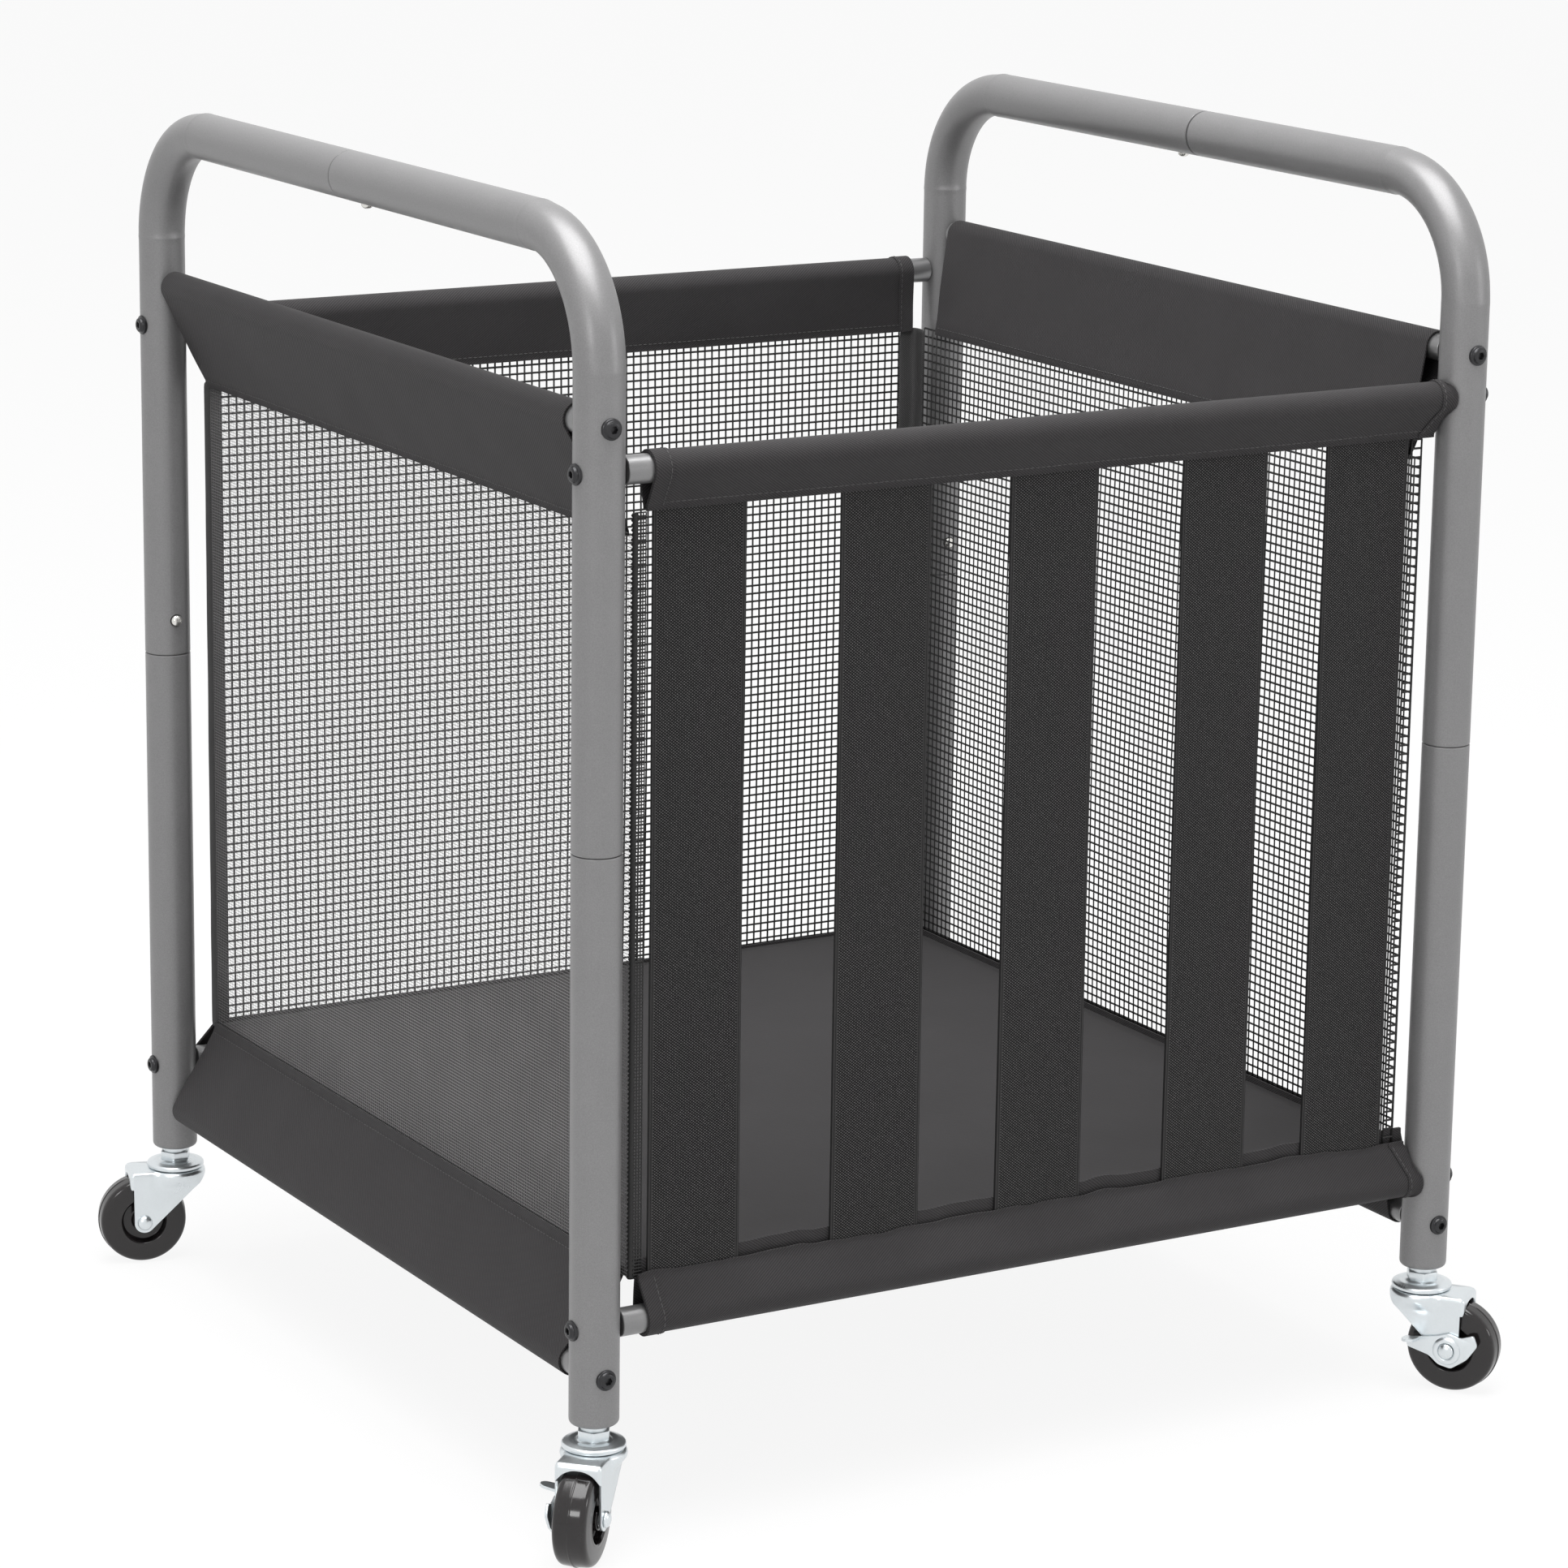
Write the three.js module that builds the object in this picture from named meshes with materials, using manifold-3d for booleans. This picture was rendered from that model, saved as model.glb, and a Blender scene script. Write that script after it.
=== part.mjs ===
// Ball cart: a rolling frame of bent tubes that carries an open fabric basket.
// Millimetres, +Z up. X runs along the strap front, and Y from the strap front to the back.
// Each half frame is two bent tubes plugged together in the middle of a handle, and each bent
// tube is plugged over a lower leg. Eight rails join the legs, and the basket hangs on them.
import * as THREE from 'three';
import { mergeVertices } from 'three/addons/utils/BufferGeometryUtils.js';
import Module from 'manifold-3d';

// Clearances
const restGap = 0.3;
const runningGap = 0.4;
const cutOverrun = 2;
const weldDistance = 0.005;

// Frame
const legSpacingX = 565;
const legSpacingY = 565;
const legSeamHeight = 397;
const handleHeight = 725;
const handleSeamOffset = 16;
const bendRadius = 68;
const tubeDiameter = 28;
const tubeWall = 1.2;
const legSpigotLength = 46;
const handleSpigotLength = 44;
const legEndRadius = 11.6;
const legEndRounding = 3;
const legEndPlate = 5;

// Rails
const railDiameter = 16;
const railWall = 1.2;
const railInsertLength = 12;
const railInsertBore = 5;
const boltHoleDiameter = 6.6;
const topSideRailDrop = 97;
const topFrontRailStep = 25;
const bottomFrontRailHeight = 130;
const bottomSideRailStep = 26.5;

// Snap buttons
const snapDiameter = 7;
const snapProud = 2.6;
const snapFromSeam = 22;
const snapFlangeDiameter = 10;
const snapFlangeThickness = 1.2;
const snapLeafWidth = 6;
const snapLeafThickness = 0.8;
const snapLeafLength = 16;

// Casters
const wheelDiameter = 56;
const wheelWidth = 21;
const wheelCrown = 1.5;
const wheelEdge = 4;
const wheelRecessRadius = 14.5;
const wheelRecessDepth = 5;
const wheelBoreRadius = 3.8;
const wheelHubRadius = 6.5;
const casterTrail = 22;
const axleRadius = 3;
const axleHeadRadius = 4.8;
const axleHeadHeight = 3;
const forkCrownGap = 3.2;
const casterNeckHeight = 14;
const forkPlateThickness = 1.8;
const forkPlateRadius = 18;
const forkCheekThickness = 1.6;
const forkSideGap = 1.2;
const forkTipRadius = 6.6;
const forkFrontRun = 29;
const forkBackRun = 15;
const forkShoulder = 9;
const stemRadius = 4;
const stemReach = 21;
const collarAcrossFlats = 17;
const collarHeight = 6.4;
const capRadius = 18;
const capRim = 2.4;
const kingpinRadius = 4.5;
const kingpinHeadRadius = 7;
const kingpinHeadHeight = 1.4;
const brakePlateThickness = 1.8;
const brakeHubRadius = 11;
const brakeWingLength = 20;
const brakeWingHeight = 11;
const brakeTabReach = 13;

// Basket
const sideWallInset = 24;
const frontWallInset = 4;
const sideTopSeamDrop = 61;
const frontTopSeamDrop = 21;
const backTopSeamDrop = 37;
const bottomSeamRise = 22;
const fabricThickness = 1.3;
const seamHalfThickness = 1.5;
const seamDepth = 9;
const floorThickness = 2.4;
const sideSleeveRailInset = 25;
const sideSleeveSeamInset = 14;
const frontSleeveLooseInset = 29;
const frontSleeveTightInset = 18;
const frontSleeveSeamInset = 27;
const netThickness = 1.2;
const netStrand = 5;
const netWrapWidth = 8;
const cornerBandWidth = 12;
const strapWidth = 57.5;
const strapThickness = 1.6;
const strapPlaceShares = [-0.388, -0.182, 0.011, 0.214, 0.389];

// Counts
const tubeSides = 12;
const railSides = 12;
const bendSteps = 7;
const turnedSides = 12;
const discSides = 18;
const wheelSides = 20;
const smallSides = 8;
const netColumns = 8;
const netRows = 6;
const sleeveArcSteps = 5;
const plateArcSteps = 4;

// Yaw of each caster's trail, measured from +X
const casterYawDegrees = { front_left: -135, back_left: 165, front_right: -55, back_right: 35 };

// Values that follow from the ones above
const tubeRadius = tubeDiameter / 2;
const railRadius = railDiameter / 2;
const snapRadius = snapDiameter / 2;
const wheelRadius = wheelDiameter / 2;
const halfX = legSpacingX / 2;
const halfY = legSpacingY / 2;
const facetShare = Math.cos(Math.PI / tubeSides);
const tubeBoreRadius = tubeRadius - tubeWall;
const spigotRadius = tubeBoreRadius * facetShare - restGap;
const spigotBoreRadius = spigotRadius - tubeWall;
const rightAngle = Math.PI / 2;
const forkPlateTop = wheelDiameter + forkCrownGap + forkPlateThickness;
const legBottomHeight = forkPlateTop + casterNeckHeight;
const topSideRailHeight = handleHeight - topSideRailDrop;
const topFrontRailHeight = topSideRailHeight - topFrontRailStep;
const bottomSideRailHeight = bottomFrontRailHeight - bottomSideRailStep;
const sideTopSeamHeight = topSideRailHeight - sideTopSeamDrop;
const frontTopSeamHeight = topFrontRailHeight - frontTopSeamDrop;
const backTopSeamHeight = topFrontRailHeight - backTopSeamDrop;
const bottomSeamHeight = bottomFrontRailHeight + bottomSeamRise;
const sideWallX = halfX - sideWallInset;
const frontWallY = halfY - frontWallInset;
const cheekInner = wheelWidth / 2 + forkSideGap;
const cheekOuter = cheekInner + forkCheekThickness;

const wasm = await Module();
wasm.setup();

const cart = new THREE.Group();

function paint(color, roughness, metalness) {
  return { color, roughness, metalness };
}

const finishes = {
  tube: paint(0x8a8b8d, 0.45, 0.35),
  rail: paint(0xa4a6a8, 0.4, 0.5),
  zinc: paint(0xd2d8da, 0.3, 0.9),
  brass: paint(0xb09a62, 0.35, 0.9),
  wheel: paint(0x2c2a2b, 0.25, 0),
  fabric: paint(0x424043, 0.9, 0),
  net: paint(0x151515, 0.8, 0),
  strap: paint(0x2b2b2b, 0.85, 0),
};

function addPiece(parent, name, geometry, finish) {
  const mesh = new THREE.Mesh(geometry, new THREE.MeshStandardMaterial(finishes[finish]));
  mesh.name = name;
  parent.add(mesh);
  return mesh;
}

// A closed geometry as a solid that can be joined and cut, turned right side out where need be
function solidFrom(geometry) {
  const bare = geometry.index ? geometry.clone() : geometry;
  bare.deleteAttribute('normal');
  bare.deleteAttribute('uv');
  const merged = mergeVertices(bare, weldDistance);
  const solid = new wasm.Manifold(new wasm.Mesh({
    numProp: 3,
    vertProperties: new Float32Array(merged.attributes.position.array),
    triVerts: new Uint32Array(merged.index.array),
  }));
  if (solid.volume() > 0) return solid;
  return new wasm.Manifold(new wasm.Mesh({
    numProp: 3,
    vertProperties: new Float32Array(merged.attributes.position.array),
    triVerts: new Uint32Array(merged.index.array).reverse(),
  }));
}

function geometryFrom(solid) {
  const mesh = solid.getMesh();
  const geometry = new THREE.BufferGeometry();
  geometry.setAttribute('position', new THREE.BufferAttribute(mesh.vertProperties, 3));
  geometry.setIndex(new THREE.BufferAttribute(mesh.triVerts, 1));
  return geometry;
}

// A closed outline of radius and height pairs, turned about Z
function turned(outline, sides) {
  const points = outline.map(([radius, height]) => new THREE.Vector2(radius, height));
  return new THREE.LatheGeometry([...points, points[0].clone()], sides);
}

// A rod on Z, from one height to another
function rod(radius, low, high, sides) {
  const geometry = new THREE.CylinderGeometry(radius, radius, high - low, sides);
  geometry.rotateX(rightAngle);
  geometry.translate(0, 0, (low + high) / 2);
  return geometry;
}

// A turned outline stands on Z, while three.js turns about Y
function turnedOnZ(outline, sides) {
  const geometry = turned(outline, sides);
  geometry.rotateX(rightAngle);
  return geometry;
}

function box(sizeX, sizeY, sizeZ, x, y, z) {
  const geometry = new THREE.BoxGeometry(sizeX, sizeY, sizeZ);
  geometry.translate(x, y, z);
  return geometry;
}

// A plate with its outline in X and Z and its thickness along Y, centred on y
function uprightPlate(shape, thickness, y) {
  const geometry = new THREE.ExtrudeGeometry(shape, {
    depth: thickness, steps: 1, bevelEnabled: false, curveSegments: plateArcSteps,
  });
  geometry.translate(0, 0, -thickness / 2);
  geometry.rotateX(rightAngle);
  geometry.translate(0, y, 0);
  return geometry;
}

// A quarter bend between two straight runs, with rings only where the shape needs them
class BentRun extends THREE.Curve {
  constructor(lowEnd, bendCentre, farEnd) {
    super();
    this.lowEnd = lowEnd;
    this.bendCentre = bendCentre;
    this.farEnd = farEnd;
  }

  station(u) {
    return Math.round(u * (bendSteps + 2));
  }

  bendAngle(station) {
    return THREE.MathUtils.clamp((station - 1) / bendSteps, 0, 1) * rightAngle;
  }

  getPointAt(u, target = new THREE.Vector3()) {
    const station = this.station(u);
    if (station === 0) return target.set(0, 0, this.lowEnd);
    if (station === bendSteps + 2) return target.set(0, this.farEnd, this.bendCentre + bendRadius);
    const angle = this.bendAngle(station);
    return target.set(
      0, bendRadius * (1 - Math.cos(angle)), this.bendCentre + bendRadius * Math.sin(angle));
  }

  getTangentAt(u, target = new THREE.Vector3()) {
    const angle = this.bendAngle(this.station(u));
    return target.set(0, Math.sin(angle), Math.cos(angle));
  }
}

function polygon(radius, sides) {
  const corners = Array.from({ length: sides }, (_, corner) => {
    const angle = (corner / sides) * 2 * Math.PI;
    return new THREE.Vector2(radius * Math.cos(angle), radius * Math.sin(angle));
  });
  return new THREE.Shape(corners);
}

function bentRod(radius, lowEnd, farEnd) {
  const path = new BentRun(lowEnd, handleHeight - bendRadius, farEnd);
  return new THREE.ExtrudeGeometry(polygon(radius, tubeSides), {
    steps: bendSteps + 2, bevelEnabled: false, extrudePath: path,
  });
}

// A bent upper tube on its own leg axis, with its handle run along +Y
function upperTube(isSocket) {
  const low = legSeamHeight + restGap / 2;
  const seamRun = halfY + (isSocket ? handleSeamOffset : -handleSeamOffset);
  const farEnd = isSocket ? seamRun - restGap / 2 : seamRun + restGap / 2;
  let solid = solidFrom(bentRod(tubeRadius, low, farEnd));
  if (!isSocket) {
    const spigot = rod(spigotRadius, farEnd - cutOverrun, farEnd + handleSpigotLength, tubeSides);
    solid = solid.add(alongHandle(spigot));
  }
  const boreEnd = isSocket ? farEnd + cutOverrun : farEnd - tubeWall;
  solid = solid.subtract(solidFrom(bentRod(tubeBoreRadius, low - cutOverrun, boreEnd)));
  if (!isSocket) {
    const bore = rod(
      spigotBoreRadius, farEnd - cutOverrun - tubeWall,
      farEnd + handleSpigotLength + cutOverrun, tubeSides);
    solid = solid.subtract(alongHandle(bore));
  }
  const handleSnap = rod(snapRadius + runningGap, -tubeDiameter, 0, smallSides);
  const snapRun = isSocket
    ? halfY + handleSeamOffset - snapFromSeam
    : halfY - handleSeamOffset + snapFromSeam;
  handleSnap.translate(0, snapRun, handleHeight);
  solid = solid.subtract(solidFrom(handleSnap));
  const legSnap = rod(snapRadius + runningGap, 0, tubeDiameter, smallSides);
  legSnap.rotateX(-rightAngle);
  legSnap.translate(0, 0, legSeamHeight + snapFromSeam);
  solid = solid.subtract(solidFrom(legSnap));
  return geometryFrom(cutBoltHoles(solid, topSideRailHeight, topFrontRailHeight));
}

// Turns a rod that stands on Z to lie along +Y at the handle's height
function alongHandle(geometry) {
  geometry.rotateX(-rightAngle);
  geometry.translate(0, 0, handleHeight);
  return solidFrom(geometry);
}

// Holes for the bolts that hold the side rail, along Y, and the front or back rail, along X
function cutBoltHoles(solid, sideHeight, frontHeight) {
  const alongY = rod(boltHoleDiameter / 2, -tubeDiameter, tubeDiameter, smallSides);
  alongY.rotateX(rightAngle);
  alongY.translate(0, 0, sideHeight);
  const alongX = rod(boltHoleDiameter / 2, -tubeDiameter, tubeDiameter, smallSides);
  alongX.rotateY(rightAngle);
  alongX.translate(0, 0, frontHeight);
  return solid.subtract(solidFrom(alongY)).subtract(solidFrom(alongX));
}

function lowerLeg() {
  const seam = legSeamHeight - restGap / 2;
  const top = legSeamHeight + legSpigotLength;
  const stemHole = stemRadius + runningGap;
  const outline = [
    [stemHole, legBottomHeight],
    [legEndRadius, legBottomHeight],
    [tubeRadius, legBottomHeight + legEndRounding],
    [tubeRadius, seam],
    [spigotRadius, seam],
    [spigotRadius, top],
    [spigotBoreRadius, top],
    [spigotBoreRadius, seam - tubeWall],
    [tubeBoreRadius, seam - tubeWall - (tubeBoreRadius - spigotBoreRadius)],
    [tubeBoreRadius, legBottomHeight + legEndPlate],
    [stemHole, legBottomHeight + legEndPlate],
  ];
  let solid = solidFrom(turnedOnZ(outline, tubeSides));
  const snapHole = rod(snapRadius + runningGap, 0, tubeDiameter, smallSides);
  snapHole.rotateX(-rightAngle);
  snapHole.translate(0, 0, legSeamHeight + snapFromSeam);
  solid = solid.subtract(solidFrom(snapHole));
  return geometryFrom(cutBoltHoles(solid, bottomSideRailHeight, bottomFrontRailHeight));
}

// A hollow rail on Z, centred, with a threaded insert in each end
function rail(spacing) {
  const half = spacing / 2 - tubeRadius - restGap;
  const boreRadius = railRadius - railWall;
  const insert = half - railInsertLength;
  return turnedOnZ([
    [railRadius, -half], [railRadius, half], [railInsertBore / 2, half],
    [railInsertBore / 2, insert], [boreRadius, insert], [boreRadius, -insert],
    [railInsertBore / 2, -insert], [railInsertBore / 2, -half],
  ], railSides);
}

// A snap button on Z with its nose up, the tube's axis at the origin and its leaf along +Y
function snapButton() {
  const nose = tubeRadius + snapProud;
  const flangeRadius = snapFlangeDiameter / 2;
  const boreReach = spigotBoreRadius * facetShare;
  const flangeTop = Math.sqrt(boreReach ** 2 - flangeRadius ** 2) - restGap;
  const flangeLow = flangeTop - snapFlangeThickness;
  const shoulder = nose - snapRadius / 2;
  const pin = turnedOnZ([
    [0, flangeLow], [flangeRadius, flangeLow], [flangeRadius, flangeTop],
    [snapRadius, flangeTop], [snapRadius, shoulder],
    [snapRadius * Math.SQRT1_2, nose - (nose - shoulder) / 4], [0, nose],
  ], smallSides);
  const leaf = box(
    snapLeafWidth, snapLeafLength, snapLeafThickness,
    0, snapLeafLength / 2, flangeLow + snapLeafThickness / 2);
  return geometryFrom(solidFrom(pin).add(solidFrom(leaf)));
}

// A caster's fixed stem on Z: threaded rod, hexagonal collar, cap disc and riveted kingpin
function casterStem() {
  const collarTop = legBottomHeight - restGap;
  const collarLow = collarTop - collarHeight;
  const capLow = forkPlateTop + restGap;
  const pinLow = forkPlateTop - forkPlateThickness - restGap;
  const spindle = solidFrom(turnedOnZ([
    [0, pinLow - kingpinHeadHeight], [kingpinHeadRadius, pinLow - kingpinHeadHeight],
    [kingpinHeadRadius, pinLow], [kingpinRadius, pinLow], [kingpinRadius, capLow],
    [capRadius, capLow], [capRadius, capLow + capRim],
    [collarAcrossFlats / 2, collarLow + restGap], [stemRadius, collarLow + restGap],
    [stemRadius, legBottomHeight + stemReach], [0, legBottomHeight + stemReach],
  ], discSides));
  const acrossCorners = collarAcrossFlats / Math.cos(Math.PI / 6);
  return geometryFrom(spindle.add(solidFrom(rod(acrossCorners / 2, collarLow, collarTop, 6))));
}

// A pressed fork with its wheel trailing along +X
function fork() {
  const plateLow = forkPlateTop - forkPlateThickness;
  const plate = solidFrom(rod(forkPlateRadius, plateLow, forkPlateTop, discSides)).add(
    solidFrom(box(
      forkFrontRun, 2 * cheekOuter, forkPlateThickness,
      forkFrontRun / 2, 0, forkPlateTop - forkPlateThickness / 2)));
  const cheek = new THREE.Shape();
  cheek.moveTo(-forkBackRun, forkPlateTop);
  cheek.lineTo(-forkBackRun, forkPlateTop - forkShoulder);
  cheek.lineTo(casterTrail - forkTipRadius * Math.SQRT1_2, wheelRadius - forkTipRadius * Math.SQRT1_2);
  cheek.absarc(casterTrail, wheelRadius, forkTipRadius, -0.75 * Math.PI, 0, false);
  cheek.lineTo(forkFrontRun, forkPlateTop);
  const y = cheekInner + forkCheekThickness / 2;
  const hole = rod(axleRadius + runningGap, -cheekOuter - cutOverrun, cheekOuter + cutOverrun, smallSides);
  hole.rotateX(rightAngle);
  hole.translate(casterTrail, 0, wheelRadius);
  const pinHole = rod(
    kingpinRadius + runningGap, plateLow - cutOverrun, forkPlateTop + cutOverrun, discSides);
  return geometryFrom(plate
    .add(solidFrom(uprightPlate(cheek, forkCheekThickness, y)))
    .add(solidFrom(uprightPlate(cheek, forkCheekThickness, -y)))
    .subtract(solidFrom(hole))
    .subtract(solidFrom(pinHole)));
}

// A wheel on its own axle line, Z here
function wheel() {
  const half = wheelWidth / 2;
  const web = half - wheelRecessDepth;
  return turnedOnZ([
    [wheelBoreRadius, -half], [wheelHubRadius, -half], [wheelHubRadius, -web],
    [wheelRecessRadius - wheelCrown, -web], [wheelRecessRadius, -half],
    [wheelRadius - wheelEdge, -half], [wheelRadius - wheelCrown, -half + wheelEdge],
    [wheelRadius, 0], [wheelRadius - wheelCrown, half - wheelEdge],
    [wheelRadius - wheelEdge, half], [wheelRecessRadius, half],
    [wheelRecessRadius - wheelCrown, web], [wheelHubRadius, web], [wheelHubRadius, half],
    [wheelBoreRadius, half],
  ], wheelSides);
}

// An axle rivet on Z, with its lower head past the brake plate where there is one
function axle(hasBrake) {
  const high = cheekOuter + restGap;
  const low = -high - (hasBrake ? brakePlateThickness + 2 * restGap : 0);
  const domeRadius = axleHeadRadius * Math.SQRT1_2;
  return turnedOnZ([
    [0, low - axleHeadHeight], [domeRadius, low - axleHeadHeight * Math.SQRT1_2],
    [axleHeadRadius, low], [axleRadius, low], [axleRadius, high], [axleHeadRadius, high],
    [domeRadius, high + axleHeadHeight * Math.SQRT1_2], [0, high + axleHeadHeight],
  ], turnedSides);
}

// A butterfly brake lever in X and Z about the axle, outside the cheek on -Y
function brakeLever() {
  const y = -cheekOuter - 2 * restGap - brakePlateThickness / 2;
  const outline = new THREE.Shape();
  const wing = brakeWingLength;
  const rise = brakeWingHeight;
  outline.moveTo(wing, rise / 2);
  outline.lineTo(wing * 0.75, rise);
  outline.lineTo(0, brakeHubRadius);
  outline.lineTo(-brakeHubRadius / 2, brakeHubRadius);
  outline.lineTo(-wing, rise / 2);
  outline.lineTo(-wing, 0);
  outline.lineTo(-brakeHubRadius, -brakeHubRadius / 2);
  outline.lineTo(0, -brakeHubRadius);
  outline.lineTo(brakeHubRadius, -brakeHubRadius / 2);
  const plate = solidFrom(uprightPlate(outline, brakePlateThickness, y));
  const tab = solidFrom(box(
    brakePlateThickness, brakeTabReach + brakePlateThickness, rise / 2,
    -wing + brakePlateThickness / 2, y - brakeTabReach / 2, rise / 4));
  const hole = rod(axleRadius + runningGap, -tubeDiameter, 0, smallSides);
  hole.rotateX(-rightAngle);
  return geometryFrom(plate.add(tab).subtract(solidFrom(hole)));
}

// The section of a fabric loop: round the rail at the origin and drawn to a seam at reach, rise
function taperedOutline(PathType, radius, reach, rise, tipRadius) {
  const direction = Math.atan2(rise, reach);
  const opening = Math.acos((radius - tipRadius) / Math.hypot(reach, rise));
  const outline = new PathType();
  outline.absarc(0, 0, radius, direction + opening, direction + 2 * Math.PI - opening, false);
  outline.absarc(reach, rise, tipRadius, direction - opening, direction + opening, false);
  return outline;
}

// A fabric sleeve in its side's frame: X inward, Y along the rail, the rail's axis at the origin
function sleeve(spacing, reach, rise, railInsets, seamInset) {
  const boreRadius = railRadius + restGap;
  const span = Math.hypot(reach, rise);
  const innerShare = (span - seamDepth) / span;
  const section = taperedOutline(
    THREE.Shape, boreRadius + fabricThickness, reach, rise, seamHalfThickness);
  section.holes.push(taperedOutline(
    THREE.Path, boreRadius, reach * innerShare, rise * innerShare, seamHalfThickness / 2));
  const geometry = new THREE.ExtrudeGeometry(section, {
    depth: spacing, steps: 1, bevelEnabled: false, curveSegments: sleeveArcSteps,
  });
  geometry.translate(0, 0, -spacing / 2);
  geometry.rotateX(rightAngle);
  const position = geometry.attributes.position;
  for (let i = 0; i < position.count; i += 1) {
    const drawn = THREE.MathUtils.clamp(position.getZ(i) / rise, 0, 1);
    const railInset = position.getY(i) > 0 ? railInsets[1] : railInsets[0];
    const inset = THREE.MathUtils.lerp(railInset, seamInset, drawn);
    position.setY(i, Math.sign(position.getY(i)) * (spacing / 2 - inset));
  }
  return geometryFrom(solidFrom(geometry));
}

// The places of a net's strand edges along one direction: each strand's near and far edge
function strandEdges(low, high, gaps) {
  const pitch = (high - low - netStrand) / gaps;
  return Array.from({ length: gaps + 1 }, (_, strand) => {
    const near = low + strand * pitch;
    return [near, near + netStrand];
  }).flat();
}

// A flat slab net in Y and Z of its side's frame, centred on Y = 0, as a grid of square cells
function netSlab(width, low, high) {
  const ys = strandEdges(-width / 2, width / 2, netColumns);
  const zs = strandEdges(low, high, netRows);
  const positions = [];
  const indices = [];
  for (const x of [-netThickness / 2, netThickness / 2]) {
    for (const y of ys) {
      for (const z of zs) positions.push(x, y, z);
    }
  }
  const corner = (face, i, j) => (face * ys.length + i) * zs.length + j;
  const quad = (a, b, c, d) => indices.push(a, b, c, a, c, d);
  const isSolid = (i, j) => (
    i >= 0 && j >= 0 && i < ys.length - 1 && j < zs.length - 1 && !(i % 2 === 1 && j % 2 === 1));
  for (let i = 0; i < ys.length - 1; i += 1) {
    for (let j = 0; j < zs.length - 1; j += 1) {
      if (!isSolid(i, j)) continue;
      quad(corner(0, i, j), corner(0, i, j + 1), corner(0, i + 1, j + 1), corner(0, i + 1, j));
      quad(corner(1, i, j), corner(1, i + 1, j), corner(1, i + 1, j + 1), corner(1, i, j + 1));
      if (!isSolid(i - 1, j)) {
        quad(corner(0, i, j), corner(1, i, j), corner(1, i, j + 1), corner(0, i, j + 1));
      }
      if (!isSolid(i + 1, j)) {
        quad(
          corner(0, i + 1, j), corner(0, i + 1, j + 1), corner(1, i + 1, j + 1), corner(1, i + 1, j));
      }
      if (!isSolid(i, j - 1)) {
        quad(corner(0, i, j), corner(0, i + 1, j), corner(1, i + 1, j), corner(1, i, j));
      }
      if (!isSolid(i, j + 1)) {
        quad(
          corner(0, i, j + 1), corner(1, i, j + 1), corner(1, i + 1, j + 1), corner(0, i + 1, j + 1));
      }
    }
  }
  const geometry = new THREE.BufferGeometry();
  geometry.setAttribute('position', new THREE.Float32BufferAttribute(positions, 3));
  geometry.setIndex(indices);
  return geometry;
}

// The four legs, named by the corner that they stand on
const corners = [
  { name: 'front_left', x: -halfX, y: -halfY, isSocket: true, hasBrake: true },
  { name: 'back_left', x: -halfX, y: halfY, isSocket: false, hasBrake: false },
  { name: 'front_right', x: halfX, y: -halfY, isSocket: false, hasBrake: true },
  { name: 'back_right', x: halfX, y: halfY, isSocket: true, hasBrake: false },
];

for (const corner of corners) {
  const leg = new THREE.Group();
  leg.position.set(corner.x, corner.y, 0);
  leg.rotation.z = corner.y > 0 ? Math.PI : 0;
  cart.add(leg);
  addPiece(leg, `upper_tube_${corner.name}`, upperTube(corner.isSocket), 'tube');
  addPiece(leg, `lower_leg_${corner.name}`, lowerLeg(), 'tube');
  const legSnap = addPiece(leg, `leg_snap_button_${corner.name}`, snapButton(), 'brass');
  legSnap.position.z = legSeamHeight + snapFromSeam;
  legSnap.rotation.x = -rightAngle;
  if (!corner.isSocket) {
    const name = corner.x < 0 ? 'handle_snap_button_left' : 'handle_snap_button_right';
    const handleSnap = addPiece(leg, name, snapButton(), 'brass');
    handleSnap.position.set(0, halfY - handleSeamOffset + snapFromSeam, handleHeight);
    handleSnap.rotation.x = Math.PI;
  }
}

for (const corner of corners) {
  const caster = new THREE.Group();
  caster.position.set(corner.x, corner.y, 0);
  caster.rotation.z = THREE.MathUtils.degToRad(casterYawDegrees[corner.name]);
  cart.add(caster);
  addPiece(caster, `caster_stem_${corner.name}`, casterStem(), 'zinc');
  addPiece(caster, `caster_fork_${corner.name}`, fork(), 'zinc');
  const onAxle = new THREE.Group();
  onAxle.position.set(casterTrail, 0, wheelRadius);
  caster.add(onAxle);
  const tyre = addPiece(onAxle, `caster_wheel_${corner.name}`, wheel(), 'wheel');
  tyre.rotation.x = -rightAngle;
  const pin = addPiece(onAxle, `caster_axle_${corner.name}`, axle(corner.hasBrake), 'zinc');
  pin.rotation.x = -rightAngle;
  if (corner.hasBrake) {
    addPiece(onAxle, `brake_lever_${corner.name}`, brakeLever(), 'zinc');
  }
}

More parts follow.
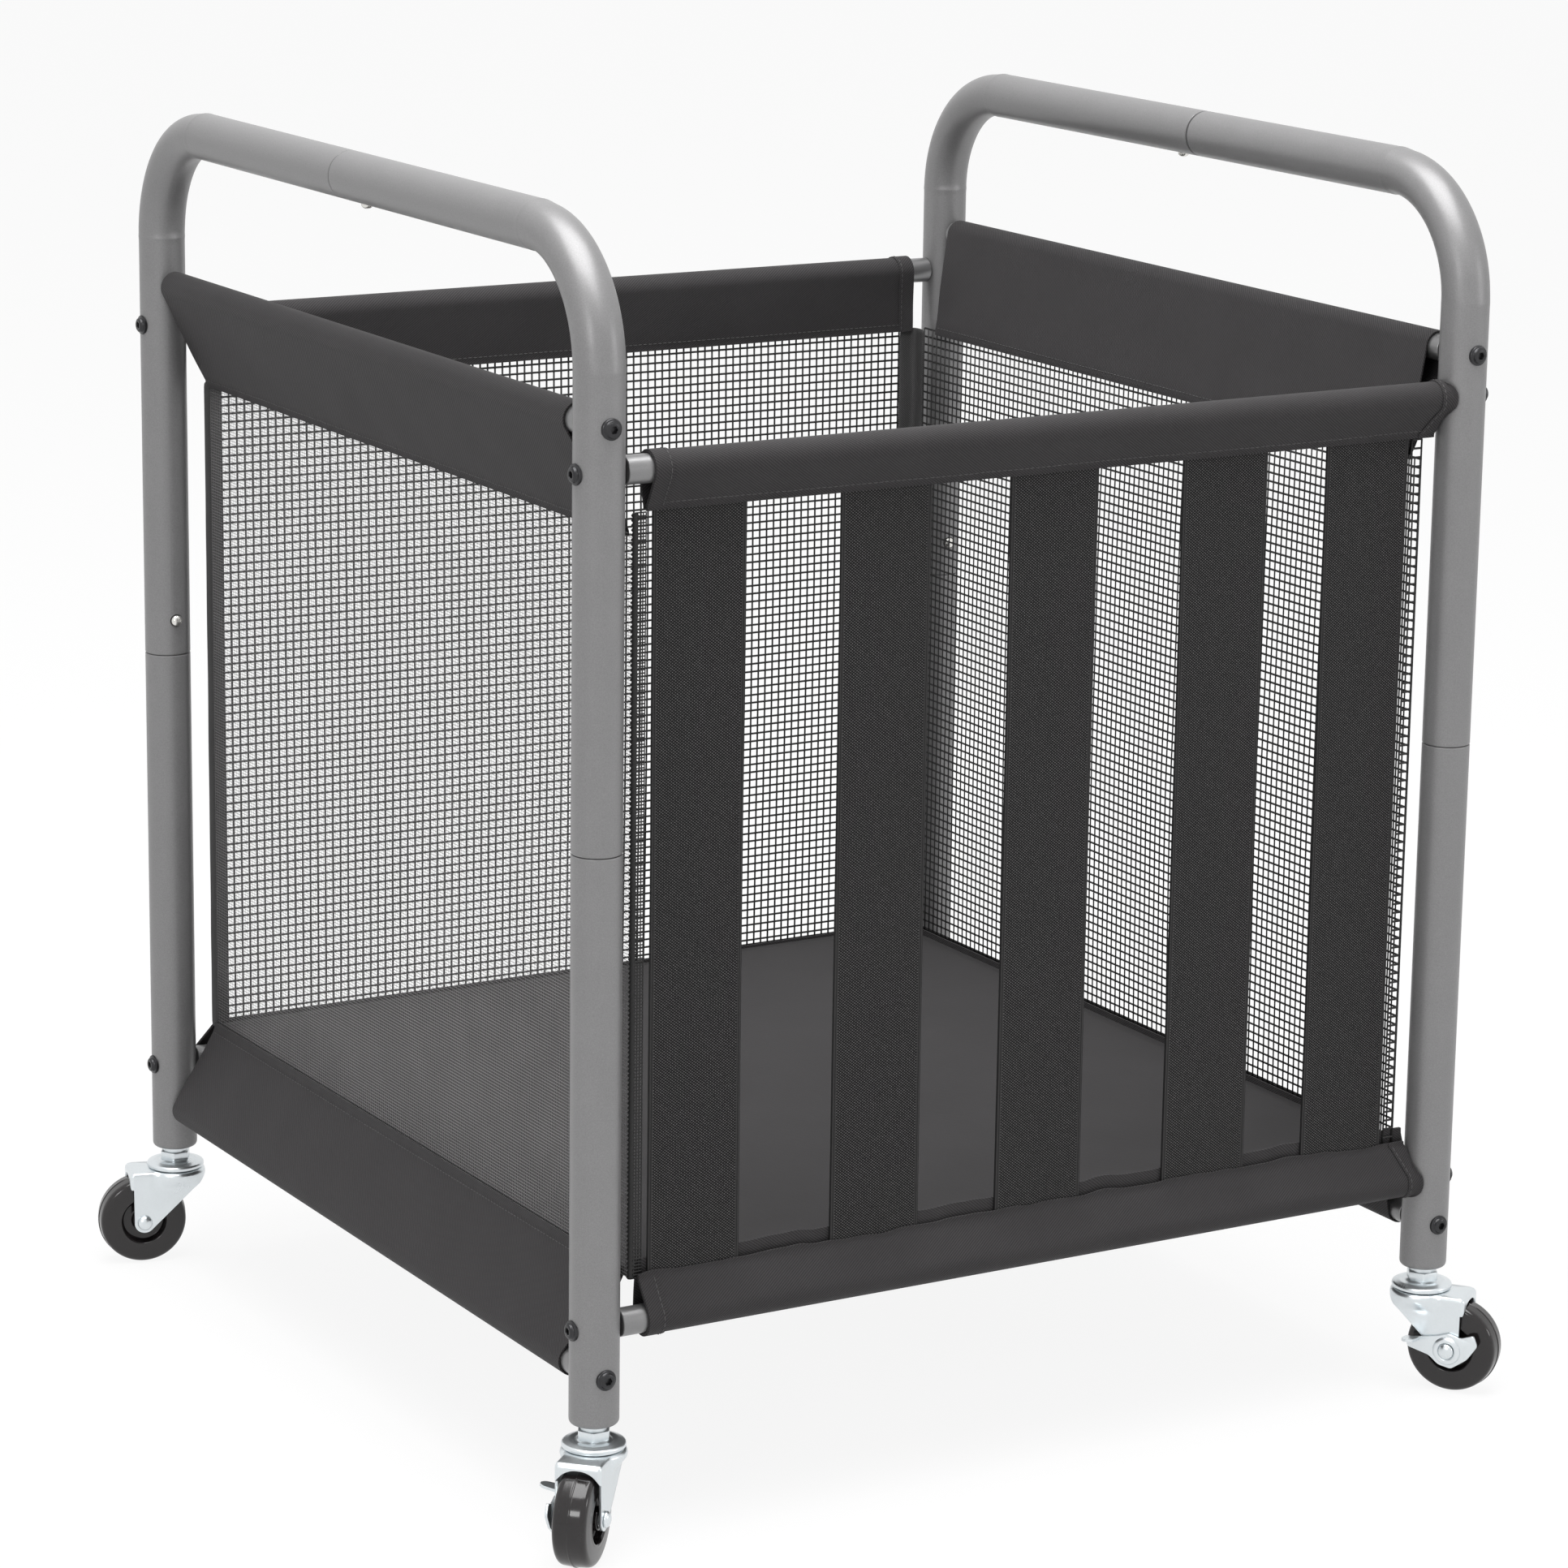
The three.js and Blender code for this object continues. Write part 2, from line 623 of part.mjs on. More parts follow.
// The four sides, each built in a frame with X inward and Y along its rails
const sideInsets = [sideSleeveRailInset, sideSleeveRailInset];
const frontInsets = [frontSleeveTightInset, frontSleeveLooseInset];
const sides = [
  {
    name: 'left', distance: halfX, turn: 0, spacing: legSpacingY, wallInset: sideWallInset,
    topRail: topSideRailHeight, bottomRail: bottomSideRailHeight, topSeam: sideTopSeamHeight,
    railInsets: sideInsets, seamInset: sideSleeveSeamInset,
  },
  {
    name: 'front', distance: halfY, turn: rightAngle, spacing: legSpacingX,
    wallInset: frontWallInset, topRail: topFrontRailHeight, bottomRail: bottomFrontRailHeight,
    topSeam: frontTopSeamHeight, railInsets: frontInsets, seamInset: frontSleeveSeamInset,
  },
  {
    name: 'right', distance: halfX, turn: Math.PI, spacing: legSpacingY, wallInset: sideWallInset,
    topRail: topSideRailHeight, bottomRail: bottomSideRailHeight, topSeam: sideTopSeamHeight,
    railInsets: sideInsets, seamInset: sideSleeveSeamInset,
  },
  {
    name: 'back', distance: halfY, turn: -rightAngle, spacing: legSpacingX,
    wallInset: frontWallInset, topRail: topFrontRailHeight, bottomRail: bottomFrontRailHeight,
    topSeam: backTopSeamHeight, railInsets: frontInsets, seamInset: frontSleeveSeamInset,
  },
];

const wallLow = bottomSeamHeight + seamHalfThickness + restGap;

for (const side of sides) {
  const frame = new THREE.Group();
  frame.rotation.z = side.turn;
  cart.add(frame);
  for (const level of ['top', 'bottom']) {
    const height = level === 'top' ? side.topRail : side.bottomRail;
    const seam = level === 'top' ? side.topSeam : bottomSeamHeight;
    const railMesh = addPiece(frame, `${level}_rail_${side.name}`, rail(side.spacing), 'rail');
    railMesh.position.set(-side.distance, 0, height);
    railMesh.rotation.x = rightAngle;
    const cloth = addPiece(
      frame, `${level}_sleeve_${side.name}`,
      sleeve(side.spacing, side.wallInset, seam - height, side.railInsets, side.seamInset),
      'fabric');
    cloth.position.set(-side.distance, 0, height);
  }
  const wallHigh = side.topSeam - seamHalfThickness - restGap;
  const wall = -side.distance + side.wallInset;
  if (side.name === 'front') {
    strapPlaceShares.forEach((share, index) => {
      const strap = box(
        strapThickness, strapWidth, wallHigh - wallLow,
        wall, -share * legSpacingX, (wallHigh + wallLow) / 2);
      addPiece(frame, `elastic_strap_${index + 1}`, strap, 'strap');
    });
  } else if (side.name === 'back') {
    const width = 2 * (sideWallX - cornerBandWidth - restGap);
    const net = netSlab(width, wallLow, wallHigh);
    net.translate(wall, 0, 0);
    addPiece(frame, 'net_back', net, 'net');
  } else {
    addPiece(frame, `net_${side.name}`, sideNet(side, wall, wallHigh), 'net');
  }
}

// A side net ends at the back corner's band, and wraps a little way round the front corner
function sideNet(side, wall, wallHigh) {
  const towardsBack = side.name === 'left' ? 1 : -1;
  const frontEnd = frontWallY + netThickness / 2;
  const backEnd = frontWallY - cornerBandWidth - restGap;
  const slab = netSlab(frontEnd + backEnd, wallLow, wallHigh);
  slab.translate(wall, (towardsBack * (backEnd - frontEnd)) / 2, 0);
  const wrap = box(
    netWrapWidth, netThickness, wallHigh - wallLow,
    wall + netWrapWidth / 2 - netThickness / 2, -towardsBack * frontWallY,
    (wallHigh + wallLow) / 2);
  return geometryFrom(solidFrom(slab).add(solidFrom(wrap)));
}

// The doubled band down each back corner, an angle section of fabric
for (const [name, turn] of [['left', 1], ['right', -1]]) {
  const high = backTopSeamHeight - seamHalfThickness - restGap;
  const height = high - wallLow;
  const middle = (high + wallLow) / 2;
  const offset = (cornerBandWidth - netThickness) / 2;
  const alongSide = box(
    netThickness, cornerBandWidth, height, -turn * sideWallX, frontWallY - offset, middle);
  const alongBack = box(
    cornerBandWidth, netThickness, height, -turn * (sideWallX - offset), frontWallY, middle);
  addPiece(
    cart, `corner_band_${name}`,
    geometryFrom(solidFrom(alongSide).add(solidFrom(alongBack))), 'fabric');
}

const seamClear = seamHalfThickness + restGap;
addPiece(cart, 'basket_floor', box(
  2 * (sideWallX - seamClear), 2 * (frontWallY - seamClear), floorThickness,
  0, 0, bottomSeamHeight), 'fabric');

// The origin is on the ground, under the middle of the cart's outer box
const outerBox = new THREE.Box3().setFromObject(cart, true);
const middle = outerBox.getCenter(new THREE.Vector3());
cart.position.set(-middle.x, -middle.y, -outerBox.min.z);

export default cart;
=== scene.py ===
"""Ball cart: a rolling frame of bent tubes with an open fabric basket.

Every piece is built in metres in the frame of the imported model, +Z up, with the strap front
towards -Y. Each operator makes one piece or one group of like pieces.
"""

import math
from functools import partial

import bmesh
import bpy
import numpy as np
from bpy.props import FloatProperty, FloatVectorProperty, PointerProperty
from bpy.types import Operator, Panel, PropertyGroup
from mathutils import Matrix, Vector, noise


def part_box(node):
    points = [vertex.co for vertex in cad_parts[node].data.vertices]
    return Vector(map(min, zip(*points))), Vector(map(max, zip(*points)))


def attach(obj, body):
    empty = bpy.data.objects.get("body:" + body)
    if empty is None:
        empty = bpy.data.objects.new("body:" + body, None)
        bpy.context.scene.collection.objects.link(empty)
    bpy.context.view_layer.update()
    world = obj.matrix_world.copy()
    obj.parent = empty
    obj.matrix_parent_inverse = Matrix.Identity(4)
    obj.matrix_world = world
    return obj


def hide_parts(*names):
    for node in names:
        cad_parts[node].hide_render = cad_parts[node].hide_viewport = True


bl_info = {
    "name": "Ball cart",
    "version": (1, 0, 0),
    "blender": (4, 5, 0),
    "location": "View3D > Sidebar > Ball cart",
    "description": "Builds a rolling ball cart with a fabric basket, piece by piece",
    "category": "Add Mesh",
}

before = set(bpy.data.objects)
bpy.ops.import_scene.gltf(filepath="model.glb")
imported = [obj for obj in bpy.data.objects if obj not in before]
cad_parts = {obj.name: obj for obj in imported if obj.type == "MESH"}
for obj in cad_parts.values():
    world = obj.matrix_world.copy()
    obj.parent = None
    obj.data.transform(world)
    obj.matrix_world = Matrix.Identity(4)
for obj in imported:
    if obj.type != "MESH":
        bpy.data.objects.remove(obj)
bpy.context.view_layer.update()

CORNERS = ("front_left", "back_left", "front_right", "back_right")
SIDES = ("left", "front", "right", "back")
LEVELS = ("top", "bottom")
RAILS = tuple((level, side) for level in LEVELS for side in SIDES)
STRAPS = (1, 2, 3, 4, 5)
BODY = "frame"
MM = 0.001


def node_box(node):
    low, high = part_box(node)
    return Vector(low), Vector(high)


def node_centre(node):
    low, high = node_box(node)
    return (low + high) / 2


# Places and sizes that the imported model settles
leg_low, leg_high = node_box("lower_leg_front_left")
tube_low, tube_high = node_box("upper_tube_front_left")
rail_low, rail_high = node_box("top_rail_left")
strap_low, strap_high = node_box("elastic_strap_3")
wheel_low, wheel_high = node_box("caster_wheel_front_left")
TUBE_RADIUS = (leg_high.x - leg_low.x) / 2
RAIL_RADIUS = (rail_high.x - rail_low.x) / 2
WHEEL_RADIUS = (wheel_high.z - wheel_low.z) / 2
LEG_SEAM = tube_low.z
HANDLE_HEIGHT = tube_high.z - TUBE_RADIUS
FRONT_WALL = (strap_low.y + strap_high.y) / 2
BACK_WALL = node_centre("net_back").y
NET_THICKNESS = node_box("net_back")[1].y - node_box("net_back")[0].y
LEFT_WALL = node_box("net_left")[0].x + NET_THICKNESS / 2
RIGHT_WALL = node_box("net_right")[1].x - NET_THICKNESS / 2
# Where each wall stands, and the way from it into the basket
WALLS = {"left": LEFT_WALL, "front": FRONT_WALL, "right": RIGHT_WALL, "back": BACK_WALL}
INWARD = {
    "left": Vector((1, 0, 0)), "front": Vector((0, 1, 0)),
    "right": Vector((-1, 0, 0)), "back": Vector((0, -1, 0))}
LEG_AXES = {corner: node_centre(f"lower_leg_{corner}") * Vector((1, 1, 0)) for corner in CORNERS}

# Sizes that stay the same whatever the settings are: play between tubes and in holes, the
# rounding of a spigot's tip, and how far a net's upright threads lie behind its level ones
SPIGOT_PLAY = 0.7 * MM
SPIGOT_ROUND = 0.6 * MM
HOLE_PLAY = 0.5 * MM
HOLE_DEPTH = 6 * MM
WHEEL_WIDTH = 21 * MM
THREAD_SHIFT = 0.12 * MM
# A hem's thickness, as a share of the sleeve's cloth
HEM_SHARE = 0.8
# How finely tubes, sleeves, threads and a fork's rear edge are divided
TUBE_SIDES = 48
SLEEVE_STEPS = 110
DRAWN_STEPS = 9
ARC_STEPS = 24
THREAD_SEGMENTS = 10
THREAD_SIDES = 6
FINE_SIDES = 4
REAR_POINTS = 9
# Angles in degrees over which an edge is shaded sharp
METAL_ANGLE = 38
CLOTH_ANGLE = 60
BOLT_ANGLE = 32
FORK_ANGLE = 40
# Pixels across the image that the camera's focal length is given for
FRAME_WIDTH = 1932


def number(name, description, default, **settings):
    return FloatProperty(name=name, description=description, default=default, **settings)


def length(name, description, default):
    return number(name, description, default, unit="LENGTH", precision=4)


def colour(name, description, default):
    return FloatVectorProperty(
        name=name, description=description, default=default, size=3, min=0, max=1, subtype="COLOR")


class CartFrameSizes(PropertyGroup):
    tube_wall: length("Tube wall", "Wall of the frame tubes", 1.2 * MM)
    bend_radius: length("Bend radius", "Radius of the handle bends at the tube's axis", 68 * MM)
    bend_squash: number("Bend squash", "Share of its height that a tube loses in a bend", 0.04)
    seam_edge: length("Seam edge", "Rounding of the tube ends at a seam", 0.6 * MM)
    handle_gap: length(
        "Handle gap", "Gap at the right handle's seam; the left one's is a third", 1.5 * MM)
    spigot_reach: length("Spigot reach", "How far a spigot goes into the next tube", 44 * MM)
    leg_end_radius: length("Leg end rounding", "Rounding at the bottom of a leg", 3 * MM)
    rail_insert: length("Rail insert", "Depth of the threaded insert in a rail's end", 12 * MM)
    bolt_head: length("Bolt head", "Radius of a bolt's flanged head", 5.9 * MM)
    bolt_height: length("Bolt height", "Height of a bolt's head over its flange", 2.9 * MM)
    bolt_socket: length("Bolt socket", "Radius of the hexagon socket, to its corners", 2.2 * MM)
    snap_radius: length("Snap radius", "Radius of a snap button", 3.5 * MM)
    snap_proud: length("Snap height", "How far a snap button stands out of its tube", 2.6 * MM)
    snap_flange: length("Snap flange", "Radius of a snap button's inner flange", 5 * MM)


class CartCasterSizes(PropertyGroup):
    plate_top: length("Plate top", "Height of the fork's top plate over the ground", 61 * MM)
    plate_radius: length("Plate radius", "Radius of the fork's round front", 18 * MM)
    sheet: length("Sheet", "Thickness of the fork's metal", 1.7 * MM)
    cheek_gap: length("Cheek gap", "Gap between the wheel and each cheek", 1.2 * MM)
    tip_radius: length("Tip radius", "Radius of a cheek's tip round the axle", 6.6 * MM)
    overhang: length("Overhang", "How far the top plate reaches past the cheeks", 1.4 * MM)
    lip: length("Lip", "Depth of the plate's turned-down end over the wheel", 3.4 * MM)
    hub_radius: length("Hub recess", "Radius of the recess in a wheel's face", 14.5 * MM)
    hub_depth: length("Hub depth", "Depth of the recess in a wheel's face", 5.5 * MM)
    wing: length("Brake wing", "Reach of a brake lever's long wing from the axle", 25 * MM)
    tab: length("Brake tab", "Reach of the bent tab outwards", 16 * MM)


class CartClothSizes(PropertyGroup):
    sheet: length("Cloth", "Thickness of the sleeve cloth", 1.0 * MM)
    rail_slack: length("Rail slack", "Gap between a rail and the cloth round it", 0.4 * MM)
    seam_gap: length(
        "Seam gap", "Half the distance between a sleeve's two layers at its seam", 1.3 * MM)
    hem: length("Hem", "Width of the folded hem at a sleeve's ends", 11 * MM)
    lip: length("Lip", "Height of the seam allowance over the front's bottom seam", 10 * MM)
    leg_gap: length("Leg gap", "Least gap between the cloth and a leg", 0.6 * MM)
    wrinkle: length("Wrinkle", "Height of the cloth's slow waves", 0.9 * MM)
    pucker: length("Pucker", "Height of the small folds along a seam", 0.45 * MM)
    net_pitch: length("Net pitch", "Distance between the threads of the open nets", 5.3 * MM)
    net_thread: length("Net thread", "Width of a thread of the open nets", 1.35 * MM)
    fine_pitch: length("Fine pitch", "Distance between the threads of the fine net", 1.85 * MM)
    fine_thread: length("Fine thread", "Width of a thread of the fine net", 0.31 * MM)
    wrap_rise: length("Wrap rise", "How far a front wrap goes above its net's top edge", 12 * MM)
    band_pitch: length("Band pitch", "Distance between the threads of the corner bands", 1.9 * MM)
    stitch_pitch: length("Stitch pitch", "Distance between stitches", 3.6 * MM)
    stitch_thread: length("Stitch thread", "Thickness of the seam thread", 0.55 * MM)
    weave_pitch: length("Weave pitch", "Distance between the ribs of the sleeve cloth", 1.6 * MM)
    strap_pitch: length("Strap pitch", "Distance between the flecks across a strap", 2.1 * MM)


class CartColours(PropertyGroup):
    tube: colour("Tubes", "Powder coat of the frame tubes", (0.205, 0.203, 0.205))
    rail: colour("Rails", "Paint of the rails", (0.225, 0.224, 0.226))
    zinc: colour("Zinc", "Plate on the casters", (0.70, 0.74, 0.76))
    brass: colour("Snap buttons", "Metal of the snap buttons", (0.7, 0.69, 0.66))
    bolt: colour("Bolts", "Black oxide on the bolts", (0.036, 0.036, 0.038))
    wheel: colour("Wheels", "Moulding of the wheels", (0.0115, 0.0096, 0.0098))
    cloth: colour("Cloth", "Sleeve cloth", (0.0275, 0.0257, 0.0268))
    strap: colour("Straps", "Ground of the woven straps", (0.003, 0.0028, 0.003))
    fleck: colour("Flecks", "Light yarn in the straps", (0.125, 0.121, 0.121))
    net: colour("Net", "Threads of the net", (0.005, 0.0046, 0.0046))
    fine_net: colour("Fine net", "Threads of the fine net", (0.23, 0.226, 0.227))
    band: colour("Corner bands", "Doubled net of the corner bands", (0.10, 0.098, 0.099))
    thread: colour("Seam thread", "Thread of the stitches", (0.06, 0.058, 0.059))


class CartStage(PropertyGroup):
    floor: colour("Floor", "Pale floor", (0.86, 0.86, 0.86))
    floor_white: number("Floor white", "Share of the floor that shows as plain white", 0.9)
    top: number("Top light", "Power of the wide light above", 118, unit="POWER")
    key: number("Key light", "Power of the light on the left", 14, unit="POWER")
    fill: number("Fill light", "Power of the light on the right", 10, unit="POWER")
    horizon: number("Horizon", "Strength of the sky at the horizon", 0.3)
    zenith: number("Zenith", "Strength of the sky straight above", 0.7)
    place: FloatVectorProperty(
        name="Camera place", description="Where the camera stands", size=3, subtype="TRANSLATION",
        default=(-1.564, -2.660, 1.098))
    azimuth: number(
        "Azimuth", "Turn of the view from +Y towards +X", math.radians(30.43), subtype="ANGLE")
    drop: number("Drop", "How far the view looks down", math.radians(13.75), subtype="ANGLE")
    roll: number("Roll", "Turn of the camera about its view", math.radians(0.8), subtype="ANGLE")
    focal_pixels: number("Focal length", "Focal length in pixels of a frame 1932 wide", 6451)


def frame_sizes():
    return bpy.context.scene.cart_frame


def caster_sizes():
    return bpy.context.scene.cart_caster


def cloth_sizes():
    return bpy.context.scene.cart_cloth


def colours():
    return bpy.context.scene.cart_colours


def stage_settings():
    return bpy.context.scene.cart_stage


# Mesh helpers


def clamp(value):
    return min(max(value, 0), 1)


def polar(radius, angle):
    return radius * math.cos(angle), radius * math.sin(angle)


def circle(radius, count):
    """Evenly spaced points round a circle, as X, Y pairs."""
    return [polar(radius, 2 * math.pi * step / count) for step in range(count)]


def distances(points, gap=math.dist):
    """How far along a line of points each of them lies."""
    result = [0.0]
    for before, after in zip(points, points[1:]):
        result.append(result[-1] + gap(before, after))
    return result


def loft(mesh, rings, round_path=False, caps=False):
    """Joins rings of equal length with four-sided faces, and closes the ends if caps is set."""
    rows = [[mesh.verts.new(point) for point in ring] for ring in rings]
    pairs = list(zip(rows, rows[1:]))
    if round_path:
        pairs.append((rows[-1], rows[0]))
    count = len(rows[0])
    for low, high in pairs:
        for i in range(count):
            j = (i + 1) % count
            mesh.faces.new((low[i], low[j], high[j], high[i]))
    if caps:
        mesh.faces.new(rows[0])
        mesh.faces.new(rows[-1])


def braced(profile):
    """The outline with a point near each end of its long stretches, which keeps them flat."""
    reach = 0.5 * MM
    result = []
    for before, after in zip(profile, [*profile[1:], profile[0]]):
        result.append(before)
        gap = math.dist(before, after)
        if gap > 5 * reach:
            for share in (reach / gap, 1 - reach / gap):
                result.append(tuple(a + (b - a) * share for a, b in zip(before, after)))
    return result


def lathe(mesh, profile, segments, place):
    """Turns a closed outline of radius and height pairs about the Z of place."""
    rows = []
    for radius, height in braced(profile):
        points = circle(radius, segments) if radius else [(0, 0)]
        rows.append([mesh.verts.new(place @ Vector((x, y, height))) for x, y in points])
    for low, high in zip(rows, [*rows[1:], rows[0]]):
        if len(low) == 1 and len(high) == 1:
            continue
        for i in range(segments):
            j = (i + 1) % segments
            below = (low[i % len(low)], low[j % len(low)])
            above = (high[j % len(high)], high[i % len(high)])
            mesh.faces.new(list(dict.fromkeys(below + above)))


def soften(outline, radius, steps=4, closed=False):
    """The outline with each corner turned into a short curve."""
    points = [Vector(point) for point in outline]
    result = []
    for i, corner in enumerate(points):
        if not closed and i in (0, len(points) - 1):
            result.append(tuple(corner))
            continue
        before = points[i - 1] - corner
        after = points[(i + 1) % len(points)] - corner
        reach = min(radius, before.length * 0.45, after.length * 0.45)
        start = corner + before.normalized() * reach
        end = corner + after.normalized() * reach
        for step in range(steps + 1):
            t = step / steps
            spot = start * (1 - t) ** 2 + corner * 2 * t * (1 - t) + end * t ** 2
            result.append(tuple(spot))
    return result


def prism(mesh, outline, low, high, place, edge):
    """A plate with its outline in X and Y, and its edges rounded by edge."""
    centre = sum((Vector(point) for point in outline), Vector((0, 0))) / len(outline)
    shave = edge * 0.3
    insets = [(edge, low), (shave, low + shave), (0, low + edge)]
    insets += [(0, high - edge), (shave, high - shave), (edge, high)]
    rings = []
    for inset, height in insets:
        ring = []
        for point in outline:
            away = Vector(point) - centre
            scaled = centre + away * max(0.0, 1 - inset / max(away.length, edge + 1e-6))
            ring.append(place @ Vector((scaled.x, scaled.y, height)))
        rings.append(ring)
    loft(mesh, rings, caps=True)


def axis_place(origin, direction):
    """A matrix at origin whose Z points along direction."""
    turn = Vector(direction).to_track_quat("Z", "Y").to_matrix().to_4x4()
    return Matrix.Translation(origin) @ turn


def link_object(name, data):
    piece = bpy.data.objects.new(name, data)
    bpy.context.scene.collection.objects.link(piece)
    return piece


def shade(piece, angle):
    """Shades a piece smooth where its faces meet at less than angle degrees."""
    piece.data.shade_smooth()
    piece.data.set_sharp_from_angle(angle=math.radians(angle))


def to_object(name, mesh, material, angle=METAL_ANGLE, turn_out=True):
    """A new object from a bmesh, smooth where its faces meet at less than angle degrees."""
    bmesh.ops.remove_doubles(mesh, verts=mesh.verts, dist=1e-6)
    if turn_out:
        bmesh.ops.recalc_face_normals(mesh, faces=mesh.faces)
    data = bpy.data.meshes.new(name)
    mesh.to_mesh(data)
    mesh.free()
    data.materials.append(material)
    piece = link_object(name, data)
    shade(piece, angle)
    return piece


def add_modifier(piece, kind, **settings):
    modifier = piece.modifiers.new(kind.lower(), kind)
    for name, value in settings.items():
        setattr(modifier, name, value)
    return modifier


def bake(piece, material=None):
    """Turns an object's modifiers into its mesh and removes them."""
    bpy.context.view_layer.update()
    graph = bpy.context.evaluated_depsgraph_get()
    made = bpy.data.meshes.new_from_object(piece.evaluated_get(graph))
    old = piece.data
    piece.modifiers.clear()
    piece.data = made
    made.name = piece.name
    bpy.data.meshes.remove(old)
    if material:
        made.materials.clear()
        made.materials.append(material)
        made.polygons.foreach_set("material_index", [0] * len(made.polygons))
    return piece


def settle(piece, body, slot, *nodes):
    """Lets a finished piece ride on its body, and stand for its nodes."""
    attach(piece, body)
    if nodes:
        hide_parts(*nodes)
    return piece


def cut_hole(piece, centre, direction, radius):
    """Cuts a round hole through one wall of a tube."""
    mesh = bmesh.new()
    outline = [(0, -HOLE_DEPTH), (radius, -HOLE_DEPTH), (radius, HOLE_DEPTH), (0, HOLE_DEPTH)]
    lathe(mesh, outline, 32, axis_place(centre, direction))
    cutter = to_object("hole_cutter", mesh, piece.data.materials[0])
    add_modifier(piece, "BOOLEAN", operation="DIFFERENCE", solver="EXACT", object=cutter)
    bake(piece)
    shade(piece, METAL_ANGLE)
    bpy.data.objects.remove(cutter)


# Node trees


def add_node(tree, kind, inputs, **settings):
    """A node with its settings, and its inputs linked from sockets or set to plain values."""
    node = tree.nodes.new(kind)
    for name, value in settings.items():
        setattr(node, name, value)
    for key, value in inputs.items():
        socket = node.inputs[key]
        if isinstance(value, bpy.types.NodeSocket):
            tree.links.new(value, socket)
        else:
            socket.default_value = (*value[:3], 1) if socket.type == "RGBA" else value
    return node


def make_group(name, inputs, outputs):
    """A shader node group with named sockets, and the sockets that its inputs come from."""
    group = bpy.data.node_groups.new(name, "ShaderNodeTree")
    for label, default in inputs.items():
        kind = "NodeSocketColor" if isinstance(default, tuple) else "NodeSocketFloat"
        socket = group.interface.new_socket(name=label, in_out="INPUT", socket_type=kind)
        socket.default_value = default
    for label in outputs:
        kind = "NodeSocketColor" if label == "Color" else "NodeSocketFloat"
        group.interface.new_socket(name=label, in_out="OUTPUT", socket_type=kind)
    return group, group.nodes.new("NodeGroupInput").outputs


def add_math(tree, operation, *values, clamp=False):
    """A Math node whose inputs are sockets or numbers; returns its output."""
    node = add_node(
        tree, "ShaderNodeMath", dict(enumerate(values)), operation=operation, use_clamp=clamp)
    return node.outputs[0]


def add_mix(tree, factor, first, second):
    """A colour Mix node whose inputs are sockets or colours; returns its output."""
    mix = add_node(tree, "ShaderNodeMix", {0: factor, 6: first, 7: second}, data_type="RGBA")
    return mix.outputs[2]


def add_tint(tree, tint, share):
    """A colour made lighter or darker by a share that is about 1."""
    scale = add_node(tree, "ShaderNodeVectorMath", {0: tint, "Scale": share}, operation="SCALE")
    return scale.outputs[0]


def add_noise(tree, vector, scale, detail=2.0, roughness=0.5):
    node = add_node(tree, "ShaderNodeTexNoise", {
        "Vector": vector, "Scale": scale, "Detail": detail, "Roughness": roughness})
    return node.outputs[0]


def add_range(tree, value, *limits):
    """Maps the range between two limits onto 0 to 1, or onto a second pair of limits."""
    return add_node(tree, "ShaderNodeMapRange", dict(enumerate((value, *limits)))).outputs[0]


def split_vector(tree, vector):
    return add_node(tree, "ShaderNodeSeparateXYZ", {0: vector}).outputs


def new_tree(name, inputs):
    """A Geometry Nodes tree with named inputs, and the sockets that its inputs come from."""
    tree = bpy.data.node_groups.new(name, "GeometryNodeTree")
    for label, kind in {"Geometry": "Geometry", **inputs, "Material": "Material"}.items():
        tree.interface.new_socket(name=label, in_out="INPUT", socket_type=f"NodeSocket{kind}")
    tree.interface.new_socket(name="Geometry", in_out="OUTPUT", socket_type="NodeSocketGeometry")
    return tree, tree.nodes.new("NodeGroupInput").outputs


def end_tree(tree, given, geometry):
    """Ends a tree in Realize Instances and Set Material."""
    realize = add_node(tree, "GeometryNodeRealizeInstances", {0: geometry})
    paint = add_node(tree, "GeometryNodeSetMaterial", {
        "Geometry": realize.outputs[0], "Material": given["Material"]})
    add_node(tree, "NodeGroupOutput", {0: paint.outputs[0]})
    return tree


def run_nodes(piece, tree, values, material):
    """Runs a Geometry Nodes tree on a piece, and keeps its result as the piece's plain mesh.

    The modifier's inputs are set by the identifiers of the sockets with these names.
    """
    modifier = add_modifier(piece, "NODES", node_group=tree)
    values = {**values, "Material": material}
    for item in tree.interface.items_tree:
        if item.item_type == "SOCKET" and item.in_out == "INPUT" and item.name in values:
            modifier[item.identifier] = values[item.name]
    bake(piece, material)


def make_grain_group():
    """Fine grain and slow mottling for coats, plate and mouldings."""
    group, given = make_group("surface_grain", {
        "Color": (0.5, 0.5, 0.5, 1), "Grain Scale": 2200.0, "Mottle Scale": 30.0,
        "Mottle": 0.08, "Grain": 0.1, "Roughness": 0.4, "Roughness Change": 0.08,
    }, ("Color", "Roughness", "Height"))
    value = partial(add_math, group)
    place = group.nodes.new("ShaderNodeTexCoord").outputs["Object"]
    grain = add_noise(group, place, given["Grain Scale"])
    mottle = value("SUBTRACT", add_noise(group, place, given["Mottle Scale"], 4.0, 0.6), 0.5)
    speck = value("MULTIPLY", value("SUBTRACT", grain, 0.5), given["Grain"])
    both = value("ADD", value("MULTIPLY", mottle, given["Mottle"]), speck)
    share = value("ADD", value("MULTIPLY", both, 2.0), 1.0)
    add_node(group, "NodeGroupOutput", {
        "Color": add_tint(group, given["Color"], share),
        "Roughness": value("MULTIPLY_ADD", mottle, given["Roughness Change"], given["Roughness"]),
        "Height": grain})
    return group


